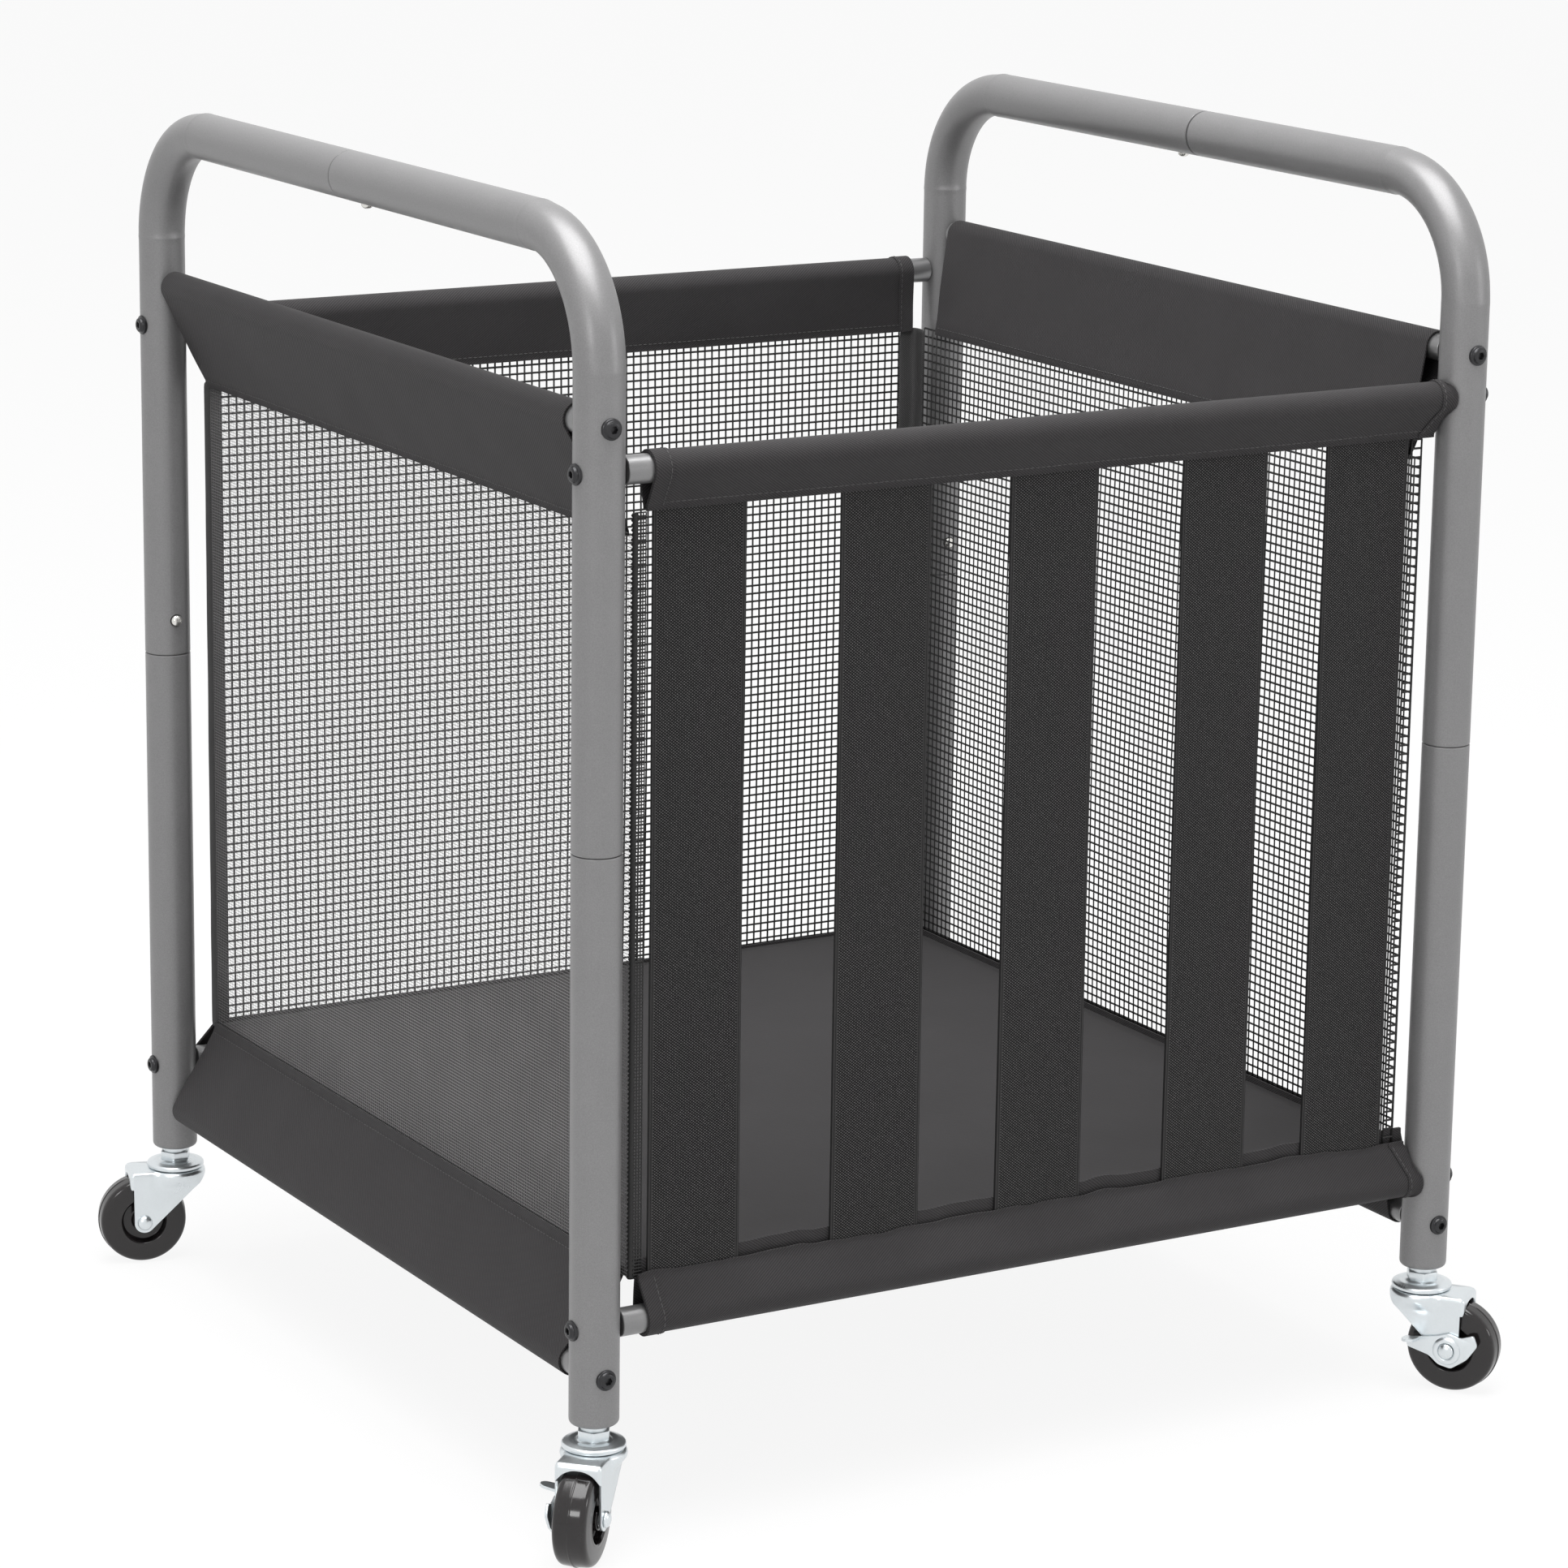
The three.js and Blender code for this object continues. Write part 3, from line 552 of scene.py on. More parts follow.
def make_wear_group():
    """Thin scuffs, as a mask over a surface."""
    group, given = make_group("scuff_marks", {"Scale": 90.0, "Amount": 0.1}, ("Mask",))
    value = partial(add_math, group)
    place = group.nodes.new("ShaderNodeTexCoord").outputs["Object"]
    coarse = add_noise(group, place, given["Scale"], 6.0, 0.7)
    fine = add_noise(group, place, value("MULTIPLY", given["Scale"], 7.0), 3.0)
    mask = value(
        "MULTIPLY", add_range(group, coarse, 0.55, 0.75), add_range(group, fine, 0.45, 0.7))
    add_node(group, "NodeGroupOutput", {
        "Mask": value("MULTIPLY", mask, given["Amount"], clamp=True)})
    return group


def cloth_map(group, pitch):
    """A cloth's place, its own map across and along, and the angle that a metre of it turns."""
    place = group.nodes.new("ShaderNodeTexCoord").outputs
    across, along, _ = split_vector(group, place["UV"])
    return place["Object"], across, along, add_math(group, "DIVIDE", 2 * math.pi, pitch)


def make_weave_group():
    """A close twill over the cloth's own map, which is in metres."""
    group, given = make_group("fine_twill", {
        "Color": (0.05, 0.05, 0.05, 1), "Pitch": 0.001, "Contrast": 0.35, "Fuzz": 0.15,
    }, ("Color", "Height"))
    value = partial(add_math, group)
    place, across, along, turns = cloth_map(group, given["Pitch"])
    u, v = value("MULTIPLY", across, turns), value("MULTIPLY", along, turns)
    rib = value("SINE", value("ADD", value("MULTIPLY", u, 0.75), v))
    yarn = value("SINE", value("MULTIPLY", u, 2.0))
    height = value("MULTIPLY_ADD", rib, 0.5, value("MULTIPLY", yarn, 0.15))
    slow = add_noise(group, place, 25.0, 4.0, 0.6)
    fuzz = add_noise(group, place, 900.0)
    lift = value("MULTIPLY", height, given["Contrast"])
    drift = value("MULTIPLY", value("SUBTRACT", value("ADD", slow, fuzz), 1.0), given["Fuzz"])
    share = value("ADD", value("ADD", lift, drift), 1.0)
    add_node(group, "NodeGroupOutput", {
        "Color": add_tint(group, given["Color"], share), "Height": height})
    return group


def make_fleck_group():
    """The diagonal flecks of a woven elastic, with plain edges, over a map in metres."""
    group, given = make_group("elastic_fleck", {
        "Ground": (0.01, 0.01, 0.01, 1), "Fleck": (0.1, 0.1, 0.1, 1), "Pitch": 0.0027,
        "Half Width": 0.0288, "Edge": 0.0028,
    }, ("Color", "Height"))
    value = partial(add_math, group)
    place, across, along, turns = cloth_map(group, given["Pitch"])
    u = value("MULTIPLY", across, turns)
    v = value("MULTIPLY", value("MULTIPLY", along, turns), 1.29)
    dots = value("MULTIPLY", value("SINE", v), value("SINE", u))
    slanted = value("MULTIPLY", value("SINE", value("ADD", u, v)), 0.35)
    speckle = value("MULTIPLY", value("SUBTRACT", add_noise(group, place, 650.0), 0.5), 0.6)
    spots = add_range(group, value("ADD", value("ADD", dots, slanted), speckle), 0.2, 1.1)
    from_edge = value("SUBTRACT", given["Half Width"], value("ABSOLUTE", across))
    middle = value("GREATER_THAN", from_edge, given["Edge"])
    border = value("SUBTRACT", 1.0, middle)
    cord = value("ABSOLUTE", value("SINE", value("MULTIPLY", from_edge, 2200.0)))
    flecks = value("MULTIPLY", spots, middle)
    tone = value("ADD", flecks, value("MULTIPLY", border, value("MULTIPLY", cord, 0.22)))
    add_node(group, "NodeGroupOutput", {
        "Color": add_mix(group, tone, given["Ground"], given["Fleck"]),
        "Height": value("ADD", flecks, value("MULTIPLY", cord, border))})
    return group


# Materials


GROUP_MAKERS = {
    "surface_grain": make_grain_group, "scuff_marks": make_wear_group,
    "fine_twill": make_weave_group, "elastic_fleck": make_fleck_group}


def place_group(tree, name, values):
    """Puts a shared group into a material with its own values; returns its outputs."""
    group = bpy.data.node_groups.get(name) or GROUP_MAKERS[name]()
    return add_node(tree, "ShaderNodeGroup", values, node_tree=group).outputs


def new_material(name):
    """A new material, its node tree and its Principled shader."""
    material = bpy.data.materials.new(name)
    material.use_nodes = True
    return material, material.node_tree, material.node_tree.nodes["Principled BSDF"]


def make_material(name, group, values, fixed, bump, scuff=None):
    """A material whose colour and height come from a shared group with these values.

    The shader's own fixed values don't change over the surface. A bump is a strength and a depth,
    and a scuff is a scale, an amount and a colour.
    """
    material = bpy.data.materials.get(name)
    if material:
        return material
    material, tree, shader = new_material(name)
    surface = place_group(tree, group, values)
    tint = surface["Color"]
    if scuff:
        scale, amount, bare = scuff
        wear = place_group(tree, "scuff_marks", {"Scale": scale, "Amount": amount})
        tint = add_mix(tree, wear["Mask"], tint, bare)
    tree.links.new(tint, shader.inputs["Base Color"])
    if "Roughness" in surface:
        tree.links.new(surface["Roughness"], shader.inputs["Roughness"])
    for label, value in fixed.items():
        shader.inputs[label].default_value = value
    strength, depth = bump
    normal = add_node(tree, "ShaderNodeBump", {
        "Strength": strength, "Distance": depth, "Height": surface["Height"]})
    tree.links.new(normal.outputs[0], shader.inputs["Normal"])
    return material


def grained_material(name, base, metallic, roughness, change, mottle, grain, bump, scuff=None):
    """A coat, plate or thread: grain, slow mottling and a few lighter scuffs."""
    return make_material(name, "surface_grain", {
        "Color": base, "Grain Scale": grain, "Mottle": mottle, "Mottle Scale": 34.0,
        "Grain": 0.36 * (1 - metallic), "Roughness": roughness, "Roughness Change": change,
    }, {"Metallic": metallic}, bump, scuff)


def tube_coat():
    return grained_material(
        "silver_powder_coat", colours().tube, 0.4, 0.4, 0.14, 0.07, 1500.0, (0.3, 0.08 * MM),
        (40.0, 0.12, (0.34, 0.335, 0.33)))


def rail_paint():
    return grained_material(
        "silver_rail_paint", colours().rail, 0.7, 0.34, 0.12, 0.10, 1800.0, (0.2, 0.05 * MM),
        (120.0, 0.3, (0.55, 0.55, 0.56)))


def zinc_plate():
    return grained_material(
        "bright_zinc_plate", colours().zinc, 0.92, 0.29, 0.1, 0.08, 700.0, (0.04, 0.03 * MM))


def button_metal():
    return grained_material(
        "snap_button_metal", colours().brass, 0.95, 0.22, 0.1, 0.1, 1500.0, (0.1, 0.03 * MM))


def bolt_oxide():
    return grained_material(
        "black_bolt_oxide", colours().bolt, 0.7, 0.3, 0.15, 0.2, 1800.0, (0.2, 0.04 * MM),
        (260.0, 0.35, (0.09, 0.09, 0.095)))


def wheel_moulding():
    return make_material("black_wheel_moulding", "surface_grain", {
        "Color": colours().wheel, "Grain Scale": 500.0, "Mottle": 0.2, "Mottle Scale": 60.0,
        "Roughness": 0.13, "Roughness Change": 0.1,
    }, {"Specular IOR Level": 0.5}, (0.08, 0.1 * MM), (130.0, 0.22, (0.07, 0.062, 0.058)))


def oxford_cloth():
    return make_material("charcoal_oxford_cloth", "fine_twill", {
        "Color": colours().cloth, "Pitch": cloth_sizes().weave_pitch, "Contrast": 0.9, "Fuzz": 0.3,
    }, {
        "Roughness": 0.78, "Sheen Weight": 0.06, "Sheen Roughness": 0.45,
        "Specular IOR Level": 0.25,
    }, (0.55, 0.18 * MM))


def woven_elastic():
    return make_material("black_woven_elastic", "elastic_fleck", {
        "Ground": colours().strap, "Fleck": colours().fleck, "Pitch": cloth_sizes().strap_pitch,
        "Half Width": (strap_high.x - strap_low.x) / 2, "Edge": 2.6 * MM,
    }, {"Roughness": 0.7, "Sheen Weight": 0.03, "Specular IOR Level": 0.2}, (0.6, 0.3 * MM))


def thread_material(name, base, roughness):
    """Twisted thread: tone and bump change slowly along it."""
    return grained_material(name, base, 0.0, roughness, 0.1, 0.3, 1400.0, (0.3, 0.1 * MM))


def net_thread():
    return thread_material("black_net_thread", colours().net, 0.62)


def fine_thread():
    return thread_material("grey_fine_net_thread", colours().fine_net, 0.6)


def doubled_net():
    """Two layers of close net that lie on each other: light threads over painted shade in the gaps.
    """
    band = colours().band
    return make_material("grey_doubled_net", "elastic_fleck", {
        # The ground, a quarter of the thread colour, is painted shade where the gaps between the
        # threads are.
        "Ground": [share * 0.25 for share in band], "Fleck": band,
        "Pitch": cloth_sizes().band_pitch, "Half Width": 1.0, "Edge": 0.0,
    }, {"Roughness": 0.7}, (0.6, 0.2 * MM))


def seam_thread():
    return thread_material("dark_seam_thread", colours().thread, 0.55)


# Frame tubes


def inward(corner):
    """+1 where the handle runs from this leg towards +Y, and -1 on the back legs."""
    return 1 if corner.startswith("front") else -1


class BentTube:
    """The path of an upper tube: up the leg, round the bend and along the handle."""

    def __init__(self, corner):
        sizes = frame_sizes()
        low, high = node_box(f"upper_tube_{corner}")
        self.axis = LEG_AXES[corner]
        self.way = inward(corner)
        self.bend = sizes.bend_radius
        self.low = low.z
        self.rise = HANDLE_HEIGHT - self.bend - self.low
        self.arc = self.bend * math.pi / 2
        self.is_socket = corner in ("front_left", "back_right")
        end = high.y if self.way > 0 else low.y
        reach = abs(end - self.axis.y)
        self.spigot = 0 if self.is_socket else sizes.spigot_reach
        gap = sizes.handle_gap if corner.endswith("right") else sizes.handle_gap / 3
        self.run = reach - self.spigot - self.bend - gap / 2
        self.leg_crimp = 0.3 if corner.startswith("front") else 1.0
        self.total = self.rise + self.arc + self.run

    def angle(self, s):
        return min(max((s - self.rise) / self.bend, 0), math.pi / 2)

    def centre(self, s):
        turn = self.angle(s)
        along = self.bend * (1 - math.cos(turn)) + max(0, s - self.rise - self.arc)
        height = self.low + min(s, self.rise) + self.bend * math.sin(turn)
        return self.axis + Vector((0, self.way * along, height))

    def ring(self, s, radius):
        """Places round the tube at a distance along it, flattened a little in the bend."""
        turn = self.angle(s)
        normal = Vector((0, -self.way * math.cos(turn), math.sin(turn)))
        ease = 5 * MM
        into = clamp((s - self.rise) / ease) * clamp((self.rise + self.arc - s) / ease)
        squash = frame_sizes().bend_squash * into
        wide = self.way * radius * (1 + squash * 0.4)
        middle = self.centre(s)
        return [
            middle + Vector((wide * x, 0, 0)) + normal * radius * (1 - squash) * y
            for x, y in circle(1, TUBE_SIDES)]

    def stations(self):
        """Distances along the tube, closer at its bend's ends, and the wall's rounding there."""
        edge = frame_sizes().seam_edge
        ends = [(0, edge), (0.3 * edge, 0.3 * edge), (edge, 0), (edge + 0.5 * MM, 0)]
        near = [self.rise + offset * MM for offset in (-6, -4, -2, -0.8, 0, 0.8, 2, 3.5, 5)]
        bend = [self.rise + self.arc * step / 30 for step in range(3, 28)]
        offsets = (-5, -3.5, -2, -0.8, 0, 0.8, 2, 4, 6)
        far = [self.rise + self.arc + offset * MM for offset in offsets]
        middle = [(s, 0) for s in sorted(near + bend + far)]
        last = [(self.total - s, inset) for s, inset in reversed(ends)]
        return ends + middle + last

    def crimp(self, s):
        """A slight swelling where the bend begins and ends."""
        swell = 0.16 * MM
        ends = ((s - self.rise, self.leg_crimp), (s - self.rise - self.arc, 0.8))
        return sum(swell * share * math.exp(-(gap / (1.4 * MM)) ** 2) for gap, share in ends)


def build_upper_tube(corner):
    sizes = frame_sizes()
    path = BentTube(corner)
    bore = TUBE_RADIUS - sizes.tube_wall
    mesh = bmesh.new()
    outer = [path.ring(s, TUBE_RADIUS - inset + path.crimp(s)) for s, inset in path.stations()]
    inner = [path.ring(s, bore) for s, _ in reversed(path.stations())]
    loft(mesh, outer + inner, round_path=True)
    if path.spigot:
        plug, root = bore - SPIGOT_PLAY, -2 * MM
        lathe(mesh, [
            (plug, root), (plug, path.spigot - SPIGOT_ROUND), (plug - SPIGOT_ROUND, path.spigot),
            (plug - sizes.tube_wall, path.spigot), (plug - sizes.tube_wall, root),
        ], TUBE_SIDES, axis_place(path.centre(path.total), (0, path.way, 0)))
    tube = to_object(f"handle_tube_{corner}", mesh, tube_coat())
    button_top = node_box(f"leg_snap_button_{corner}")[1].z
    hole = path.axis + Vector((0, path.way * TUBE_RADIUS, button_top - sizes.snap_flange))
    cut_hole(tube, hole, (0, 1, 0), sizes.snap_radius + HOLE_PLAY)
    if path.is_socket:
        pin = handle_pin("left" if "left" in corner else "right")
        hole = Vector((pin.x, pin.y, HANDLE_HEIGHT - TUBE_RADIUS))
        cut_hole(tube, hole, (0, 0, 1), sizes.snap_radius + HOLE_PLAY)
    return settle(tube, BODY, "tube", f"upper_tube_{corner}")


def handle_pin(side):
    """The axis of a handle's snap button, whose leaf runs to one side of it."""
    low, high = node_box(f"handle_snap_button_{side}")
    flange = frame_sizes().snap_flange
    y = low.y + flange if side == "left" else high.y - flange
    return Vector(((low.x + high.x) / 2, y, HANDLE_HEIGHT))


def build_lower_leg(corner):
    sizes = frame_sizes()
    low, high = node_box(f"lower_leg_{corner}")
    bore = TUBE_RADIUS - sizes.tube_wall
    plug = bore - SPIGOT_PLAY
    seam = LEG_SEAM - 0.3 * MM
    edge = sizes.seam_edge
    stem_hole, floor = 4.4 * MM, low.z + 5 * MM
    bottom = soften([
        (stem_hole, low.z), (TUBE_RADIUS, low.z), (TUBE_RADIUS, low.z + 20 * MM)],
        sizes.leg_end_radius, 7)
    profile = bottom + [
        (TUBE_RADIUS, seam - edge), (TUBE_RADIUS - 0.3 * edge, seam - 0.3 * edge),
        (TUBE_RADIUS - edge, seam), (plug, seam), (plug, high.z - SPIGOT_ROUND),
        (plug - SPIGOT_ROUND, high.z), (plug - sizes.tube_wall, high.z),
        (plug - sizes.tube_wall, seam - 8 * MM), (bore, seam - 12 * MM), (bore, floor),
        (stem_hole, floor),
    ]
    mesh = bmesh.new()
    lathe(mesh, profile, TUBE_SIDES, Matrix.Translation(LEG_AXES[corner]))
    leg = to_object(f"leg_tube_{corner}", mesh, tube_coat())
    return settle(leg, BODY, "tube", f"lower_leg_{corner}")


def build_rail(level, side):
    """A straight rail with flat ends and a threaded insert in each."""
    node = f"{level}_rail_{side}"
    low, high = node_box(node)
    runs_along_y = side in ("left", "right")
    half = (high.y - low.y if runs_along_y else high.x - low.x) / 2
    thread, wall, edge = 2.5 * MM, 1.2 * MM, 0.35 * MM
    insert = frame_sizes().rail_insert
    bore = RAIL_RADIUS - wall
    profile = [
        (RAIL_RADIUS, -half + edge), (RAIL_RADIUS, half - edge), (RAIL_RADIUS - edge, half),
        (thread + edge, half), (thread, half - edge), (thread, half - insert),
        (bore, half - insert), (bore, insert - half), (thread, insert - half),
        (thread, edge - half), (thread + edge, -half), (RAIL_RADIUS - edge, -half),
    ]
    mesh = bmesh.new()
    direction = (0, 1, 0) if runs_along_y else (1, 0, 0)
    lathe(mesh, profile, 40, axis_place((low + high) / 2, direction))
    return settle(to_object(f"{level}_cross_rail_{side}", mesh, rail_paint()), BODY, "rail", node)


def dome(radius, base, height, way, steps=7):
    """The outline of a round head, from its rim to its middle."""
    points = []
    for step in range(steps):
        across, up = polar(1, math.pi / 2 * step / (steps - 1))
        points.append((radius * across, base + way * height * up))
    points[-1] = (0, points[-1][1])
    return points


def build_snap_button(node, axis, direction, leaf_way):
    """A domed pin with a flange and a leaf spring inside the tube."""
    sizes = frame_sizes()
    name = node.replace("snap_", "")
    radius, rim = sizes.snap_radius, sizes.snap_flange
    crown = radius * 0.7
    nose = TUBE_RADIUS + sizes.snap_proud
    flange = 8 * MM
    mesh = bmesh.new()
    lathe(mesh, [
        (0, flange), (rim - 0.3 * MM, flange), (rim, flange + 0.3 * MM), (rim, flange + 0.9 * MM),
        (radius, flange + 1.2 * MM), *dome(radius, nose - crown, crown, 1, 9),
    ], 32, axis_place(axis, direction))
    leaf_length, half, thickness, sag = 16 * MM, 3 * MM, 0.8 * MM, 1.6 * MM
    out, leaf_axis = Vector(direction), Vector(leaf_way)
    side = out.cross(leaf_axis) * half
    up = out * thickness
    rings = []
    for step in range(9):
        share = step / 8
        middle = Vector(axis) + out * flange + leaf_axis * leaf_length * share
        middle += out * (-sag * share ** 2)
        rings.append([middle - side, middle + side, middle + side + up, middle - side + up])
    loft(mesh, rings, caps=True)
    return settle(to_object(name, mesh, button_metal()), name, "brass", node)


def bolt_spots():
    """Where each bolt head sits on a leg's wall, and which way it faces."""
    spots = []
    for corner in CORNERS:
        axis = LEG_AXES[corner]
        side = "left" if corner.endswith("left") else "right"
        face = "front" if corner.startswith("front") else "back"
        outward_y = Vector((0, -inward(corner), 0))
        outward_x = -INWARD[side]
        for level in LEVELS:
            side_height = node_centre(f"{level}_rail_{side}").z
            face_height = node_centre(f"{level}_rail_{face}").z
            for outward, height in ((outward_y, side_height), (outward_x, face_height)):
                spots.append((axis + outward * TUBE_RADIUS + Vector((0, 0, height)), outward))
    return spots


def bolt_template():
    """A button head on a flange, with a hexagon socket, facing +Z."""
    sizes = frame_sizes()
    flange, height, socket = sizes.bolt_head, sizes.bolt_height, sizes.bolt_socket
    head = flange * 0.76
    sides, sector = 24, math.pi / 3
    profile = [
        (flange * 0.9, -1.2 * MM), (flange, -0.9 * MM), (flange, 0.5 * MM),
        (flange - 0.4 * MM, 0.9 * MM), (head + 0.3 * MM, 1.0 * MM), (head, 1.35 * MM),
        (head * 0.93, height * 0.8), (head * 0.78, height * 0.97), (head * 0.62, height)]
    rings = [[(x, y, z) for x, y in circle(radius, sides)] for radius, z in profile]
    hole = [(socket * 1.06, height * 0.97), (socket, height * 0.9), (socket, height * 0.25)]
    for corner, z in hole:
        ring = []
        for step in range(sides):
            angle = 2 * math.pi * step / sides
            flat = corner * math.cos(sector / 2) / math.cos(angle % sector - sector / 2)
            ring.append((*polar(flat, angle), z))
        rings.append(ring)
    mesh = bmesh.new()
    loft(mesh, rings, caps=True)
    return to_object("bolt_template", mesh, bolt_oxide(), angle=BOLT_ANGLE)


def facing_tree():
    """Puts a copy of an object on each point, turned to the point's facing attribute."""
    tree, given = new_tree("copies_on_points", {"Piece": "Object"})
    info = add_node(tree, "GeometryNodeObjectInfo", {"Object": given["Piece"]})
    facing = add_node(
        tree, "GeometryNodeInputNamedAttribute", {"Name": "facing"}, data_type="FLOAT_VECTOR")
    turn = add_node(tree, "FunctionNodeAlignRotationToVector", {
        "Vector": facing.outputs["Attribute"]}, axis="Z")
    copies = add_node(tree, "GeometryNodeInstanceOnPoints", {
        "Points": given["Geometry"], "Instance": info.outputs["Geometry"],
        "Rotation": turn.outputs["Rotation"]})
    return end_tree(tree, given, copies.outputs[0])


def points_object(name, spots):
    """An object of bare points with a facing attribute."""
    data = bpy.data.meshes.new(name)
    data.from_pydata([tuple(spot) for spot, _ in spots], [], [])
    attribute = data.attributes.new("facing", "FLOAT_VECTOR", "POINT")
    for item, (_, facing) in zip(attribute.data, spots):
        item.vector = facing
    return link_object(name, data)


def build_bolts():
    template = bolt_template()
    piece = points_object("rail_bolts", bolt_spots())
    run_nodes(piece, facing_tree(), {"Piece": template}, bolt_oxide())
    bpy.data.objects.remove(template)
    shade(piece, BOLT_ANGLE)
    return settle(piece, BODY, "zinc")


# Cloth


# From a leg's axis to a sleeve's ends, in millimetres: at the rail and then at the seam, each
# first at the end towards -X or -Y
SLEEVE_ENDS = {
    ("top", "left"): ((23, 19), (14, 14)),
    ("top", "front"): ((29, 9), (30, 17)),
    ("top", "right"): ((23, 19), (16, 32)),
    ("top", "back"): ((18, 29), (27, 27)),
    ("bottom", "left"): ((24, 18), (14, 14)),
    ("bottom", "front"): ((29, 9), (28, 17)),
    ("bottom", "right"): ((24, 22), (14, 14)),
    ("bottom", "back"): ((18, 27), (27, 27)),
}


class SleevePath:
    """A sleeve's cloth: out from its seam, round the rail and back, along a rail's length.

    Places are given by the distance along the rail from its middle, and the girth, which is the
    distance round the loop from the outer layer's free edge.
    """

    def __init__(self, level, side):
        cloth = cloth_sizes()
        low, high = node_box(f"{level}_sleeve_{side}")
        self.level = level
        self.has_lip = (level, side) == ("bottom", "front")
        self.rail = node_centre(f"{level}_rail_{side}")
        self.along_y = side in ("left", "right")
        self.inward = INWARD[side]
        self.run = Vector((0, 1, 0)) if self.along_y else Vector((1, 0, 0))
        reach = abs(WALLS[side] - (self.rail.x if self.along_y else self.rail.y))
        seam_radius = 1.5 * MM
        seam_height = low.z + seam_radius if level == "top" else high.z - seam_radius
        self.radius = RAIL_RADIUS + cloth.rail_slack + cloth.sheet / 2
        self.tail = 4.5 * MM if level == "bottom" and self.along_y else 2.5 * MM
        self.lip = cloth.lip if self.has_lip else self.tail
        self.build_section(reach, seam_height - self.rail.z, cloth.seam_gap)
        leg_gap = abs(LEG_AXES["front_left"].y - LEG_AXES["back_left"].y) / 2
        self.ends, self.seam_ends = (
            tuple(leg_gap - gap * MM for gap in gaps) for gaps in SLEEVE_ENDS[level, side])
        self.seed = 7.3 * (SIDES.index(side) + 4 * LEVELS.index(level))

    def build_section(self, reach, rise, gap):
        """The loop in two dimensions: inward distance and height from the rail's axis."""
        way = 1 if rise > 0 else -1
        outer = Vector((reach - gap, rise))
        inner = Vector((reach + gap, rise))
        start = math.atan2(outer.y, outer.x) + way * math.acos(self.radius / outer.length)
        end = math.atan2(inner.y, inner.x) - way * math.acos(self.radius / inner.length)
        sweep = (end - start) * way % (2 * math.pi) * way
        up = Vector((0, way))
        arc = [
            Vector(polar(self.radius, start + sweep * step / ARC_STEPS))
            for step in range(ARC_STEPS + 1)]
        shares = [step / DRAWN_STEPS for step in range(DRAWN_STEPS + 1)]
        points = [outer + up * self.tail * share for share in (1.0, 0.5)]
        points += [outer.lerp(arc[0], share) for share in shares[:-1]]
        first = len(points)
        points += arc
        points += [arc[-1].lerp(inner, share) for share in shares[1:]]
        points += [inner + up * self.lip * share for share in (0.34, 0.67, 1.0)]
        self.points = points
        self.girths = distances(points, lambda before, after: (after - before).length)
        self.girth = self.girths[-1]
        self.arc_range = (self.girths[first], self.girths[first + ARC_STEPS])

    def section(self, girth):
        """The loop's point and its outward normal at a girth."""
        girth = min(max(girth, 0), self.girth)
        index = min(int(np.searchsorted(self.girths, girth)), len(self.girths) - 1)
        index = max(index, 1)
        low, high = self.girths[index - 1], self.girths[index]
        before, after = self.points[index - 1], self.points[index]
        tangent = (after - before).normalized()
        way = -1 if self.level == "top" else 1
        normal = Vector((tangent.y, -tangent.x)) * way
        return before.lerp(after, (girth - low) / (high - low)), normal

    def drawn(self, girth):
        """0 on the rail and 1 at the seam."""
        low, high = self.arc_range
        if girth < low:
            return 1 - girth / low
        if girth > high:
            return (girth - high) / (self.girth - high)
        return 0.0

    def end(self, girth, way):
        """Half the cloth's length at a girth, on one side of its middle."""
        share = min(1.0, self.drawn(girth) * 1.08)
        index = 0 if way < 0 else 1
        return self.ends[index] * (1 - share) + self.seam_ends[index] * share

    def wave(self, along, girth):
        """Slow waves, still on the rail and small at the seam, and small folds along the seam.

        The factors of along and girth are the noise's cells for each metre.
        """
        share = self.drawn(girth)
        calm = min(1.0, share * 3) * min(1.0, (1.02 - share) * 4)
        spot = Vector((along * 7, girth * 16, self.seed))
        fine = Vector((along * 26, girth * 30, self.seed + 9))
        value = noise.noise(spot) + 0.35 * noise.noise(fine)
        end_pull = math.exp(-((self.end(girth, along) - abs(along)) / 0.03) ** 2)
        slow = cloth_sizes().wrinkle * calm * (value + 0.6 * end_pull * noise.noise(fine * 1.7))
        from_seam = min(abs(girth - self.tail), abs(self.girth - self.lip - girth))
        pucker = noise.noise(Vector((along * 150, girth * 20, self.seed)))
        return slow + cloth_sizes().pucker * pucker * math.exp(-(from_seam / (7 * MM)) ** 2)

    def place(self, along, girth, offset=0.0):
        """A place on the cloth, or at an offset out from its middle, clear of the legs."""
        point, normal = self.section(girth)
        point = point + normal * (self.wave(along, girth) + offset)
        height = point.y + self.edge_wave(along, girth)
        spot = self.rail + self.run * along + self.inward * point.x + Vector((0, 0, height))
        return self.clear_of_legs(spot, offset)

    def clear_of_legs(self, spot, offset):
        """The place, moved out to a leg's surface where the cloth would be in the leg."""
        least = TUBE_RADIUS + cloth_sizes().leg_gap + cloth_sizes().sheet / 2 + offset
        for axis in LEG_AXES.values():
            away = Vector((spot.x - axis.x, spot.y - axis.y))
            if away.length < least:
                away *= least / away.length
                return Vector((axis.x + away.x, axis.y + away.y, spot.z))
        return spot

    def edge_wave(self, along, girth):
        """The free edge of the front's bottom sleeve rises and falls a little."""
        if not self.has_lip:
            return 0.0
        near_outer = max(0.0, 1 - girth / (6 * MM))
        near_inner = max(0.0, 1 - (self.girth - girth) / (9 * MM))
        slow = noise.noise(Vector((along * 26, 3.1, self.seed)))
        quick = noise.noise(Vector((along * 80, 8.4, self.seed)))
        return (near_outer + near_inner) * (2.6 * MM * slow + 1.4 * MM * quick)


